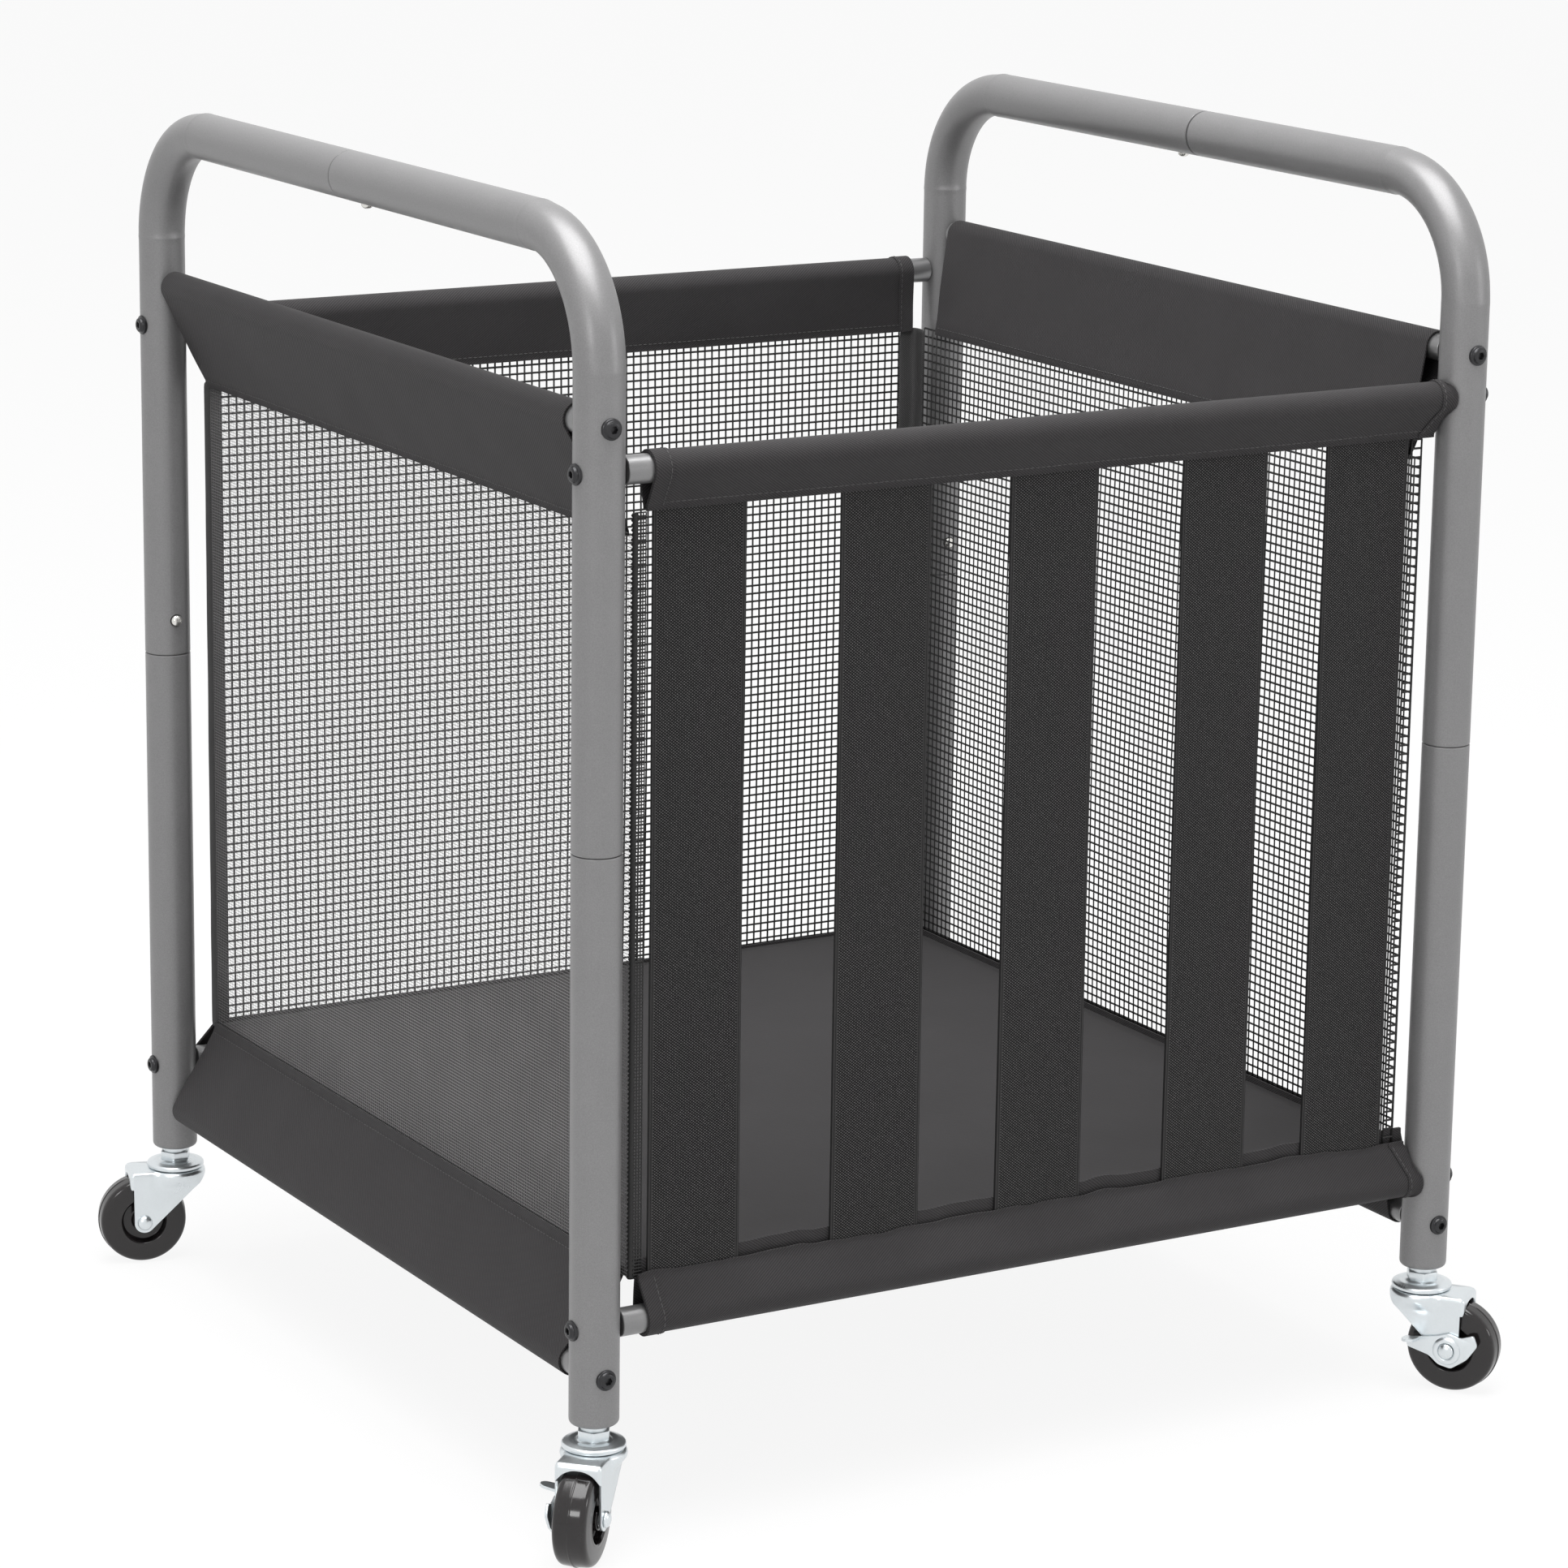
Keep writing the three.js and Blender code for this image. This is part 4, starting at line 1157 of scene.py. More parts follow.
def sheet_grid(name, rows, columns, place, uv, material):
    """An open grid of cloth with its own map in metres."""
    mesh = bmesh.new()
    layer = mesh.loops.layers.uv.new("cloth")
    verts = [[mesh.verts.new(place(i, j)) for j in range(columns)] for i in range(rows)]
    for i in range(rows - 1):
        for j in range(columns - 1):
            corners = ((i, j), (i + 1, j), (i + 1, j + 1), (i, j + 1))
            face = mesh.faces.new([verts[a][b] for a, b in corners])
            for loop, (a, b) in zip(face.loops, corners):
                loop[layer].uv = uv(a, b)
    return to_object(name, mesh, material, angle=CLOTH_ANGLE, turn_out=False)


def thicken(piece, thickness):
    add_modifier(piece, "SOLIDIFY", thickness=thickness, offset=0)
    bake(piece)


def join_into(piece, others):
    """Adds other objects' meshes to a piece and removes them."""
    mesh = bmesh.new()
    mesh.from_mesh(piece.data)
    for other in others:
        mesh.from_mesh(other.data)
        bpy.data.objects.remove(other)
    mesh.to_mesh(piece.data)
    mesh.free()


def build_sleeve(level, side):
    cloth = cloth_sizes()
    path = SleevePath(level, side)
    girths = path.girths

    def along_at(i, girth):
        start, stop = -path.end(girth, -1), path.end(girth, 1)
        return start + (stop - start) * (i / SLEEVE_STEPS)

    body = sheet_grid(
        f"{level}_rail_sleeve_{side}", SLEEVE_STEPS + 1, len(girths),
        lambda i, j: path.place(along_at(i, girths[j]), girths[j]),
        lambda i, j: (along_at(i, girths[j]), girths[j]), oxford_cloth())
    thicken(body, cloth.sheet)
    hems = []
    for way in () if path.along_y else (-1, 1):
        def hem_along(i, girth, way=way):
            stop = path.end(girth, way) - 0.2 * MM
            return way * (stop - cloth.hem * (1 - i / 4))
        hem = sheet_grid(
            "hem", 5, len(girths),
            lambda i, j: path.place(hem_along(i, girths[j]), girths[j], cloth.sheet * 0.85),
            lambda i, j: (hem_along(i, girths[j]) + 0.4 * MM, girths[j] + 0.3 * MM), oxford_cloth())
        thicken(hem, cloth.sheet * HEM_SHARE)
        hems.append(hem)
    join_into(body, hems)
    shade(body, CLOTH_ANGLE)
    return settle(body, BODY, "fabric", f"{level}_sleeve_{side}")


def build_strap(number):
    """A woven elastic strap, pulled flat, with a corded pattern at its edges."""
    node = f"elastic_strap_{number}"
    low, high = node_box(node)
    half = (high.x - low.x) / 2
    centre = (low + high) / 2
    top, bottom = high.z + 2.0 * MM, low.z - 3.0 * MM
    rows, columns = 60, 15

    def spot(i, j):
        share = i / (rows - 1)
        across = j / (columns - 1) * 2 - 1
        height = bottom + (top - bottom) * share
        pull = math.sin(math.pi * share)
        wobble = noise.noise(Vector((number * 3.7, height * 9, across))) * 0.5 * MM * pull
        waist = 1 - 0.012 * pull
        return centre + Vector((across * half * waist + wobble, wobble, height - centre.z))

    def flat(i, j):
        return ((j / (columns - 1) * 2 - 1) * half, bottom + (top - bottom) * i / (rows - 1))

    strap = sheet_grid(f"woven_strap_{number}", rows, columns, spot, flat, woven_elastic())
    thicken(strap, 1.5 * MM)
    shade(strap, CLOTH_ANGLE)
    return settle(strap, BODY, "strap", node)


def net_tree():
    """A square net of threads in X and Z, bowed a little along Y."""
    tree, given = new_tree("square_net", {
        "Width": "Float", "Height": "Float", "Pitch": "Float", "Thread": "Float", "Sides": "Int",
        "Bow": "Float"})
    value = partial(add_math, tree)

    def vector(*values):
        return add_node(tree, "ShaderNodeCombineXYZ", dict(enumerate(values))).outputs[0]

    def threads(span, reach, along_z):
        gaps = value("MAXIMUM", value("ROUND", value("DIVIDE", span, given["Pitch"])), 1.0)
        step = value("DIVIDE", span, gaps)
        start = value("MULTIPLY", span, -0.5)
        shift = THREAD_SHIFT if along_z else -THREAD_SHIFT
        line = add_node(tree, "GeometryNodeMeshLine", {
            "Count": value("ADD", gaps, 1.0),
            "Start Location": vector(start, shift) if along_z else vector(0.0, shift, start),
            "Offset": vector(step) if along_z else vector(0.0, 0.0, step)}, mode="OFFSET")
        rod = add_node(tree, "GeometryNodeMeshCylinder", {
            "Vertices": given["Sides"], "Side Segments": THREAD_SEGMENTS, "Radius": 0.5,
            "Depth": reach})
        thin = value("MULTIPLY", given["Thread"], 0.55)
        shape = add_node(tree, "GeometryNodeTransform", {
            "Geometry": rod.outputs["Mesh"], "Scale": vector(given["Thread"], thin, 1.0)})
        turn = add_node(tree, "GeometryNodeTransform", {
            "Geometry": shape.outputs[0], "Rotation": (0, 0 if along_z else math.pi / 2, 0)})
        copies = add_node(tree, "GeometryNodeInstanceOnPoints", {
            "Points": line.outputs[0], "Instance": turn.outputs[0]})
        return add_node(tree, "GeometryNodeRealizeInstances", {0: copies.outputs[0]}).outputs[0]

    def arch(place, span):
        return value("COSINE", value("MULTIPLY", value("DIVIDE", place, span), math.pi))

    join = tree.nodes.new("GeometryNodeJoinGeometry")
    upright = threads(given["Width"], given["Height"], True)
    level = threads(given["Height"], given["Width"], False)
    tree.links.new(upright, join.inputs[0])
    tree.links.new(level, join.inputs[0])
    place = tree.nodes.new("GeometryNodeInputPosition").outputs[0]
    x, _, z = split_vector(tree, place)
    bulge = value("MULTIPLY", arch(x, given["Width"]), arch(z, given["Height"]))
    patch = value("ADD", add_noise(tree, place, 9.0), 0.3)
    lift = value("MULTIPLY", value("MULTIPLY", bulge, given["Bow"]), patch)
    move = add_node(tree, "GeometryNodeSetPosition", {
        "Geometry": join.outputs[0], "Offset": vector(0.0, lift)})
    return end_tree(tree, given, move.outputs[0])


def net_panel(name, width, height, bow, place, pitch, thread, sides, material):
    """A flat panel of net, centred on place, in its X and Z."""
    piece = link_object(name, bpy.data.meshes.new(name))
    run_nodes(piece, bpy.data.node_groups.get("square_net") or net_tree(), {
        "Width": width, "Height": height, "Pitch": pitch, "Thread": thread, "Sides": sides,
        "Bow": bow}, material)
    piece.data.transform(place)
    piece.data.shade_smooth()
    return piece


def build_net(side):
    """A net wall; a side net also turns a front corner, where the left one has a cord."""
    cloth = cloth_sizes()
    node = f"net_{side}"
    low, high = node_box(node)
    height = high.z - low.z + 3 * MM
    middle = (low.z + high.z) / 2
    bow = 3 * MM
    open_net = (cloth.net_pitch, cloth.net_thread, THREAD_SIDES, net_thread())
    if side == "back":
        whole = high.x - low.x
        place = Matrix.Translation(((low.x + high.x) / 2, BACK_WALL, middle))
        net = net_panel("basket_net_back", whole, height, -bow, place, *open_net)
    else:
        is_fine = side == "left"
        wall, way = WALLS[side], INWARD[side].x
        fine_net = (cloth.fine_pitch, cloth.fine_thread, FINE_SIDES, fine_thread())
        kind = fine_net if is_fine else open_net
        width = high.y - low.y - NET_THICKNESS
        centre = Matrix.Translation((wall, (low.y + high.y + NET_THICKNESS) / 2, middle))
        turn = Matrix.Rotation(math.pi / 2, 4, "Z")
        net = net_panel(f"basket_net_{side}", width, height, -way * bow, centre @ turn, *kind)
        wrap = high.x - low.x - NET_THICKNESS
        close_knit = (cloth.fine_pitch, 0.8 * MM, THREAD_SIDES, net_thread())
        knit = close_knit if is_fine else open_net
        rise = cloth.wrap_rise
        place = Matrix.Translation((wall + way * wrap / 2, FRONT_WALL, middle + rise / 2))
        parts = [net_panel("wrap", wrap, height + rise, 0, place, *knit)]
        if is_fine:
            parts.append(net_selvedge(wall, middle + rise / 2, height + rise, 1.9 * MM))
            net.data.materials.append(net_thread())
            for part in parts:
                part.data.polygons.foreach_set("material_index", [1] * len(part.data.polygons))
        join_into(net, parts)
        whole = width + wrap
    return settle(net, BODY, "net", node)


def net_selvedge(wall, middle, height, thick):
    """The knitted edge cord where a side net turns the front corner."""
    mesh = bmesh.new()
    steps = int(height / (2.6 * MM)) * 2
    rings = []
    for step in range(steps + 1):
        z = middle - height / 2 + height * step / steps
        radius = thick if step % 2 else thick * 0.55
        rings.append([(wall + 1.25 * x, FRONT_WALL + y, z) for x, y in circle(radius, 8)])
    loft(mesh, rings, caps=True)
    return to_object("selvedge", mesh, net_thread(), angle=80)


def build_corner_band(side):
    """A doubled strip of cloth down a back corner, folded round it."""
    node = f"corner_band_{side}"
    low, high = node_box(node)
    wall, way = WALLS[side], INWARD[side].x
    reach = high.x - low.x
    rows = 70
    fold = [(0, -reach), (0, -reach * 0.6), (0, -reach * 0.25), (0.12 * reach, -0.06 * reach),
            (reach * 0.35, 0), (reach * 0.7, 0), (reach, 0)]
    girths = distances(fold)

    def spot(i, j):
        share = i / (rows - 1)
        z = low.z - 1.5 * MM + (high.z - low.z + 3 * MM) * share
        ripple = 0.7 * MM * noise.noise(Vector((z * 30, girths[j] * 60, way * 3.0)))
        x, y = fold[j]
        return Vector((wall + way * (x + ripple * 0.6), BACK_WALL + y + ripple * 0.6, z))

    band = sheet_grid(
        f"corner_tape_{side}", rows, len(fold), spot,
        lambda i, j: (girths[j], (high.z - low.z) * i / (rows - 1)), doubled_net())
    add_modifier(band, "SOLIDIFY", thickness=1.3 * MM, offset=0)
    add_modifier(band, "SUBSURF", levels=1, render_levels=1)
    bake(band)
    return settle(band, BODY, "fabric", node)


def build_floor():
    """The basket's floor panel, which sags a little in the middle."""
    low, high = node_box("basket_floor")
    rows, columns = 72, 72
    middle = (low.z + high.z) / 2

    def share(i, j):
        return i / (rows - 1), j / (columns - 1)

    def spot(i, j):
        u, v = share(i, j)
        x, y = low.x + (high.x - low.x) * u, low.y + (high.y - low.y) * v
        sag = -3.5 * MM * (math.sin(math.pi * u) * math.sin(math.pi * v)) ** 0.7
        crease = 0.9 * MM * noise.noise(Vector((x * 12, y * 12, 4.0)))
        calm = min(1.0, 8 * min(u, v, 1 - u, 1 - v))
        return Vector((x, y, middle + sag + crease * calm))

    def flat(i, j):
        u, v = share(i, j)
        return ((high.x - low.x) * u, (high.y - low.y) * v)

    floor = sheet_grid("floor_panel", rows, columns, spot, flat, oxford_cloth())
    thicken(floor, 1.4 * MM)
    return settle(floor, BODY, "fabric", "basket_floor")


# Stitches


def stitch_tree():
    """Lays short stitches along the edges of a line mesh."""
    tree, given = new_tree("stitch_row", {"Pitch": "Float", "Thread": "Float"})
    curve = add_node(tree, "GeometryNodeMeshToCurve", {0: given["Geometry"]})
    sample = add_node(tree, "GeometryNodeResampleCurve", {
        "Curve": curve.outputs[0], "Length": given["Pitch"]}, mode="LENGTH")
    spots = add_node(
        tree, "GeometryNodeCurveToPoints", {"Curve": sample.outputs[0]}, mode="EVALUATED")
    bead = add_node(tree, "GeometryNodeMeshUVSphere", {"Segments": 8, "Rings": 6, "Radius": 0.5})
    reach = add_math(tree, "MULTIPLY", given["Pitch"], 0.8)
    size = add_node(tree, "ShaderNodeCombineXYZ", {
        0: given["Thread"], 1: given["Thread"], 2: reach})
    shape = add_node(tree, "GeometryNodeTransform", {
        "Geometry": bead.outputs["Mesh"], "Scale": size.outputs[0]})
    copies = add_node(tree, "GeometryNodeInstanceOnPoints", {
        "Points": spots.outputs["Points"], "Rotation": spots.outputs["Rotation"],
        "Instance": shape.outputs[0]})
    return end_tree(tree, given, copies.outputs[0])


def stitch_rows():
    """Every row of stitches, as a list of places along it."""
    cloth = cloth_sizes()
    proud = cloth.sheet / 2 + 0.05 * MM
    on_hem = proud + cloth.sheet * HEM_SHARE
    from_seam, from_end, from_hem = 2.2 * MM, 4 * MM, 1.6 * MM
    rows = []
    for level, side in RAILS:
        path = SleevePath(level, side)
        inner = path.girth - path.lip
        for girth in () if path.has_lip else (path.tail + from_seam, inner - from_seam):
            start, stop = (path.end(girth, way) - from_end for way in (-1, 1))
            places = np.linspace(-start, stop, 120)
            rows.append([path.place(along, girth, proud) for along in places])
        for way in () if path.along_y else (-1, 1):
            rows.append([
                path.place(way * (path.end(girth, way) - cloth.hem + from_hem), girth, on_hem)
                for girth in path.girths if path.tail < girth < inner])
    return rows


def build_stitches():
    cloth = cloth_sizes()
    points, edges = [], []
    for row in stitch_rows():
        first = len(points)
        points.extend(tuple(point) for point in row)
        edges.extend((index, index + 1) for index in range(first, first + len(row) - 1))
    data = bpy.data.meshes.new("seam_stitches")
    data.from_pydata(points, edges, [])
    piece = link_object("seam_stitches", data)
    run_nodes(piece, stitch_tree(), {
        "Pitch": cloth.stitch_pitch, "Thread": cloth.stitch_thread}, seam_thread())
    piece.data.shade_smooth()
    return settle(piece, BODY, "fabric")


# Casters


def caster_place(corner):
    """A matrix at a leg's foot on the ground whose X is the caster's trail."""
    axis = LEG_AXES[corner]
    trail = node_centre(f"caster_wheel_{corner}") - axis
    return Matrix.Translation(axis) @ Matrix.Rotation(math.atan2(trail.y, trail.x), 4, "Z")


def caster_trail(corner):
    trail = node_centre(f"caster_wheel_{corner}") - LEG_AXES[corner]
    return math.hypot(trail.x, trail.y)


def cheek_outer():
    """From the middle of a wheel's width to the outer face of a cheek."""
    sizes = caster_sizes()
    return WHEEL_WIDTH / 2 + sizes.cheek_gap + sizes.sheet


def build_stem(corner):
    """The fixed part: threaded rod, collar with a hexagon, dished cap and riveted kingpin."""
    sizes = caster_sizes()
    place = Matrix.Translation(LEG_AXES[corner])
    collar = node_box(f"lower_leg_{corner}")[0].z - 0.2 * MM
    cap = sizes.plate_top + 0.4 * MM
    cap_top = cap + 5.2 * MM
    cap_radius, collar_radius = sizes.plate_radius, 7.4 * MM
    mesh = bmesh.new()
    disc = soften([
        (0, cap), (cap_radius, cap), (cap_radius, cap + 2.7 * MM), (13.2 * MM, cap + 4.2 * MM),
        (10.6 * MM, cap + 3.7 * MM), (8.4 * MM, cap_top), (0, cap_top)], 1.3 * MM, 5)
    lathe(mesh, disc, 64, place)
    ring = soften([
        (0, cap + 4 * MM), (collar_radius, cap + 4 * MM), (collar_radius, collar), (0, collar)],
        0.6 * MM)
    lathe(mesh, ring, 48, place)
    corners = circle(8.6 * MM / math.cos(math.pi / 6), 6)
    hexagon = soften(corners, 0.9 * MM, 3, closed=True)
    prism(mesh, hexagon, cap + 4.6 * MM, collar - 3.3 * MM, place, 0.5 * MM)
    crest, root, turns, lead = 4 * MM, 3.5 * MM, 14, 1.4 * MM
    thread = [(0, collar - 1 * MM)]
    for turn in range(turns):
        z = collar + turn * lead
        thread += [(crest, z), (root, z + lead / 2)]
    thread += [(3.2 * MM, collar + turns * lead), (0, collar + turns * lead)]
    lathe(mesh, thread, 32, place)
    low, head, shank = sizes.plate_top - 3.4 * MM, 6.8 * MM, 4.4 * MM
    kingpin = soften([
        (0, low), (head, low), (head, low + 1.2 * MM), (shank, low + 1.3 * MM),
        (shank, cap + 1 * MM), (0, cap + 1 * MM)], 0.5 * MM)
    lathe(mesh, kingpin, 40, place)
    stem = to_object(f"caster_neck_{corner}", mesh, zinc_plate(), angle=34)
    return settle(stem, BODY, "zinc", f"caster_stem_{corner}")


class ForkShape:
    """A pressed fork: a top plate, and a skirt that becomes the two cheeks."""

    def __init__(self, trail):
        sizes = caster_sizes()
        self.trail = trail
        self.top = sizes.plate_top
        self.radius = sizes.plate_radius
        self.half = cheek_outer() - sizes.sheet / 2
        self.tip = sizes.tip_radius
        self.front = trail + sizes.tip_radius
        self.rear = self.front + sizes.overhang
        self.lip = sizes.lip
        self.arm = -15 * MM
        self.rear_count = 2 * REAR_POINTS - 1

    def outline(self):
        """The plate's plan from the middle of its rear edge round one half, as X, Y pairs."""
        corner = self.rear - self.front
        straight = np.linspace(0, self.half - self.rear + self.front, REAR_POINTS)
        points = [(self.rear, y) for y in straight]
        for angle in np.linspace(0, math.pi / 2, REAR_POINTS)[1:]:
            x, y = polar(corner, angle)
            points.append((self.front + x, self.half - corner + y))
        points.append((self.front - 0.15 * MM, self.half))
        join = math.sqrt(self.radius ** 2 - self.half ** 2)
        points += [(x, self.half) for x in np.linspace(self.front - 0.8 * MM, join + 3 * MM, 22)]
        start = math.atan2(self.half, join)
        points += [polar(self.radius, angle) for angle in np.linspace(start + 0.06, math.pi, 30)]
        return points

    def cheek_low(self, x):
        """The cheek's lower edge at a distance from the kingpin."""
        low_x = self.trail - self.tip * math.sqrt(0.5)
        low_z = WHEEL_RADIUS - self.tip * math.sqrt(0.5)
        if x >= low_x:
            across = min(1.0, abs(x - self.trail) / self.tip)
            return WHEEL_RADIUS - self.tip * math.sqrt(max(0.0, 1 - across ** 2))
        start_z = self.top - 7 * MM
        share = (x - self.arm) / (low_x - self.arm)
        return start_z + (low_z - start_z) * share

    def skirt_low(self, x, y, index):
        """The skirt's lower edge: an arch over the wheel, the cheeks, and a rim round the front."""
        if index < self.rear_count:
            arch = min(0.97, abs(y) / self.half)
            return self.top - self.lip - 10 * MM * (1 - math.sqrt(1 - arch ** 2))
        if x < self.arm:
            share = (x + self.radius) / (self.radius + self.arm)
            return self.top - 3.6 * MM - 3.4 * MM * max(0.0, share)
        return self.cheek_low(x)

    def column(self, x, y, index):
        """Places from near the kingpin out over the plate's edge and down the skirt."""
        spot = Vector((x, y))
        way = spot.normalized()
        hole, race, step_down, bend = 5 * MM, 15.2 * MM, 0.9 * MM, 2.2 * MM
        ring = min(race, spot.length * 0.8)
        rim = self.top - step_down
        plate = [
            (hole, self.top), (ring * 0.55, self.top), (ring * 0.9, self.top),
            (ring, self.top - 0.5 * MM), (ring * 1.05, rim)]
        inset = spot - way * bend
        column = [(way * radius, height) for radius, height in plate] + [(inset, rim)]
        for share in (0.35, 0.7, 1.0):
            turn = share * math.pi / 2
            column.append((inset + way * bend * math.sin(turn), rim - bend * (1 - math.cos(turn))))
        under = rim - bend
        drop = max(under - self.skirt_low(x, y, index), 0.4 * MM)
        for step in range(1, 11):
            height = under - drop * step / 10
            pull = min(1.0, (under - height) / (9 * MM))
            pull = pull * pull * (3 - 2 * pull)
            y_at = spot.y
            if abs(spot.y) > self.half and index >= self.rear_count:
                y_at += (self.half - spot.y) * pull
            column.append((Vector((spot.x, y_at)), height))
        return column


def build_fork(corner):
    shape = ForkShape(caster_trail(corner))
    place = caster_place(corner)
    half = shape.outline()
    columns = [shape.column(x, y, index) for index, (x, y) in enumerate(half)]
    mirrored = []
    for column in reversed(columns[1:-1]):
        mirrored.append([(Vector((spot.x, -spot.y)), height) for spot, height in column])
    rings = []
    for row in range(len(columns[0])):
        ring = [column[row] for column in columns + mirrored]
        rings.append([place @ Vector((spot.x, spot.y, height)) for spot, height in ring])
    mesh = bmesh.new()
    loft(mesh, rings)
    fork = to_object(f"caster_yoke_{corner}", mesh, zinc_plate(), angle=FORK_ANGLE)
    add_modifier(fork, "SOLIDIFY", thickness=caster_sizes().sheet, offset=0)
    add_modifier(
        fork, "BEVEL", width=0.25 * MM, segments=2, limit_method="ANGLE",
        angle_limit=math.radians(60))
    bake(fork)
    shade(fork, FORK_ANGLE)
    return settle(fork, f"swivel_{corner}", "zinc", f"caster_fork_{corner}")


def axle_place(corner):
    """A matrix on the wheel's centre whose Z is the axle, towards the caster's left."""
    centre = Matrix.Translation((caster_trail(corner), 0, WHEEL_RADIUS))
    return caster_place(corner) @ centre @ Matrix.Rotation(-math.pi / 2, 4, "X")


def build_wheel(corner):
    """A moulded wheel with a parting line, round shoulders and a hub recess on both faces."""
    sizes = caster_sizes()
    half, recess = WHEEL_WIDTH / 2, sizes.hub_radius
    web = half - sizes.hub_depth
    bore, hub = 3.8 * MM, 6.6 * MM
    tread, ridge = WHEEL_RADIUS - 0.4 * MM, WHEEL_RADIUS - 0.06 * MM
    rim = (WHEEL_RADIUS - 9 * MM, half - 0.35 * MM)
    face = [
        (bore, half - 0.2 * MM), (bore + 0.4 * MM, half), (hub - 0.4 * MM, half),
        (hub, half - 0.4 * MM), (hub + 0.5 * MM, web + 0.6 * MM), (hub + 1.4 * MM, web),
        (recess - 2 * MM, web), (recess - 1.2 * MM, web + 0.5 * MM),
        (recess - 0.5 * MM, half - 0.9 * MM), (recess + 0.1 * MM, half - 0.15 * MM),
        (recess + 0.7 * MM, half), (recess + 1.5 * MM, half - 0.25 * MM), rim]
    shoulder = soften(
        [rim, (WHEEL_RADIUS - 1.0 * MM, half - 0.9 * MM), (tread, 0.9 * MM)], 6.5 * MM, 10)
    upper = face + shoulder[1:] + [
        (tread, 0.7 * MM), (ridge, 0.45 * MM), (WHEEL_RADIUS, 0.25 * MM), (WHEEL_RADIUS, 0.0)]
    lower = [(r, -z) for r, z in reversed(upper[:-1])]
    mesh = bmesh.new()
    lathe(mesh, upper + lower, 96, axle_place(corner))
    wheel = to_object(f"caster_roller_{corner}", mesh, wheel_moulding(), angle=50)
    return settle(wheel, f"wheel_{corner}", "wheel", f"caster_wheel_{corner}")


def build_axle(corner):
    """The rivet through the fork and wheel, with a round head at each end."""
    has_brake = corner.startswith("front")
    high = cheek_outer() + 0.2 * MM
    low = -high - (2.6 * MM if has_brake else 0)
    head, shank = 4.7 * MM, 3 * MM
    top = dome(head, high + 0.5 * MM, 2.6 * MM, 1)
    bottom = dome(head, low - 0.5 * MM, 2.4 * MM, -1)
    outline = [(shank, low), (shank, high), (head - 0.2 * MM, high), *top]
    outline += [*reversed(bottom), (head - 0.2 * MM, low)]
    mesh = bmesh.new()
    lathe(mesh, outline, 40, axle_place(corner))
    axle = to_object(f"caster_rivet_{corner}", mesh, zinc_plate(), angle=50)
    return settle(axle, f"swivel_{corner}", "zinc", f"caster_axle_{corner}")


def build_brake(corner):
    """A butterfly lever: a domed hub, a short flat wing, and a long wing bent out into a tab."""
    sizes = caster_sizes()
    wing = sizes.wing / MM
    sheet = 1.7 * MM
    low = cheek_outer() + 0.5 * MM
    high = low + sheet
    outline = soften([(x * MM, y * MM) for x, y in (
        (19, 5.5), (16.5, 12), (8, 9), (1, 11), (-7.5, 8.2), (-wing, 5.2), (-wing, -0.4),
        (-11, -4.2), (-5, -9.2), (3, -10.8), (9.5, -6.2), (13, -3.5))], 1.7 * MM, 4, closed=True)
    mesh = bmesh.new()
    stand = axle_place(corner) @ Matrix.Rotation(math.pi, 4, "X")
    prism(mesh, outline, low, high, stand, 0.35 * MM)
    outer, inner, sunk = 8.8 * MM, 4.9 * MM, high - 0.4 * MM
    boss = soften([
        (outer, high - 0.2 * MM), (7.6 * MM, high + 1.3 * MM), (5.6 * MM, high + 1.5 * MM),
        (inner, high + 0.9 * MM)], 0.9 * MM, 4)
    lathe(mesh, [*boss, (inner, sunk), (outer, sunk)], 40, stand)
    rings = []
    bend, last_turn, bend_share, steps = 2 * MM, math.radians(80), 0.3, 14
    for step in range(steps + 1):
        share = step / steps
        turn = min(1.0, share / bend_share) * last_turn
        run = max(0.0, share - bend_share) / (1 - bend_share) * (sizes.tab - bend)
        up = 3.6 * MM + bend * math.sin(turn) + run * math.cos(last_turn)
        out = (low + high) / 2 + bend * (1 - math.cos(turn)) + run * math.sin(last_turn)
        half = (3.4 + 0.7 * math.sin(math.pi * share)) * MM
        if share > 0.8:
            half *= math.sqrt(max(0.1, 1 - ((share - 0.8) / 0.21) ** 2))
        middle = Vector((4 * MM - sizes.wing, up, out))
        side = Vector((half, 0, 0))
        normal = Vector((0, -math.sin(turn), math.cos(turn))) * (sheet / 2)
        rings.append([stand @ (middle + spot) for spot in (
            -side - normal, side - normal, side + normal, -side + normal)])
    loft(mesh, rings, caps=True)
    lever = to_object(f"caster_brake_{corner}", mesh, zinc_plate(), angle=FORK_ANGLE)
    return settle(lever, f"brake_{corner}", "zinc", f"brake_lever_{corner}")


# Stage


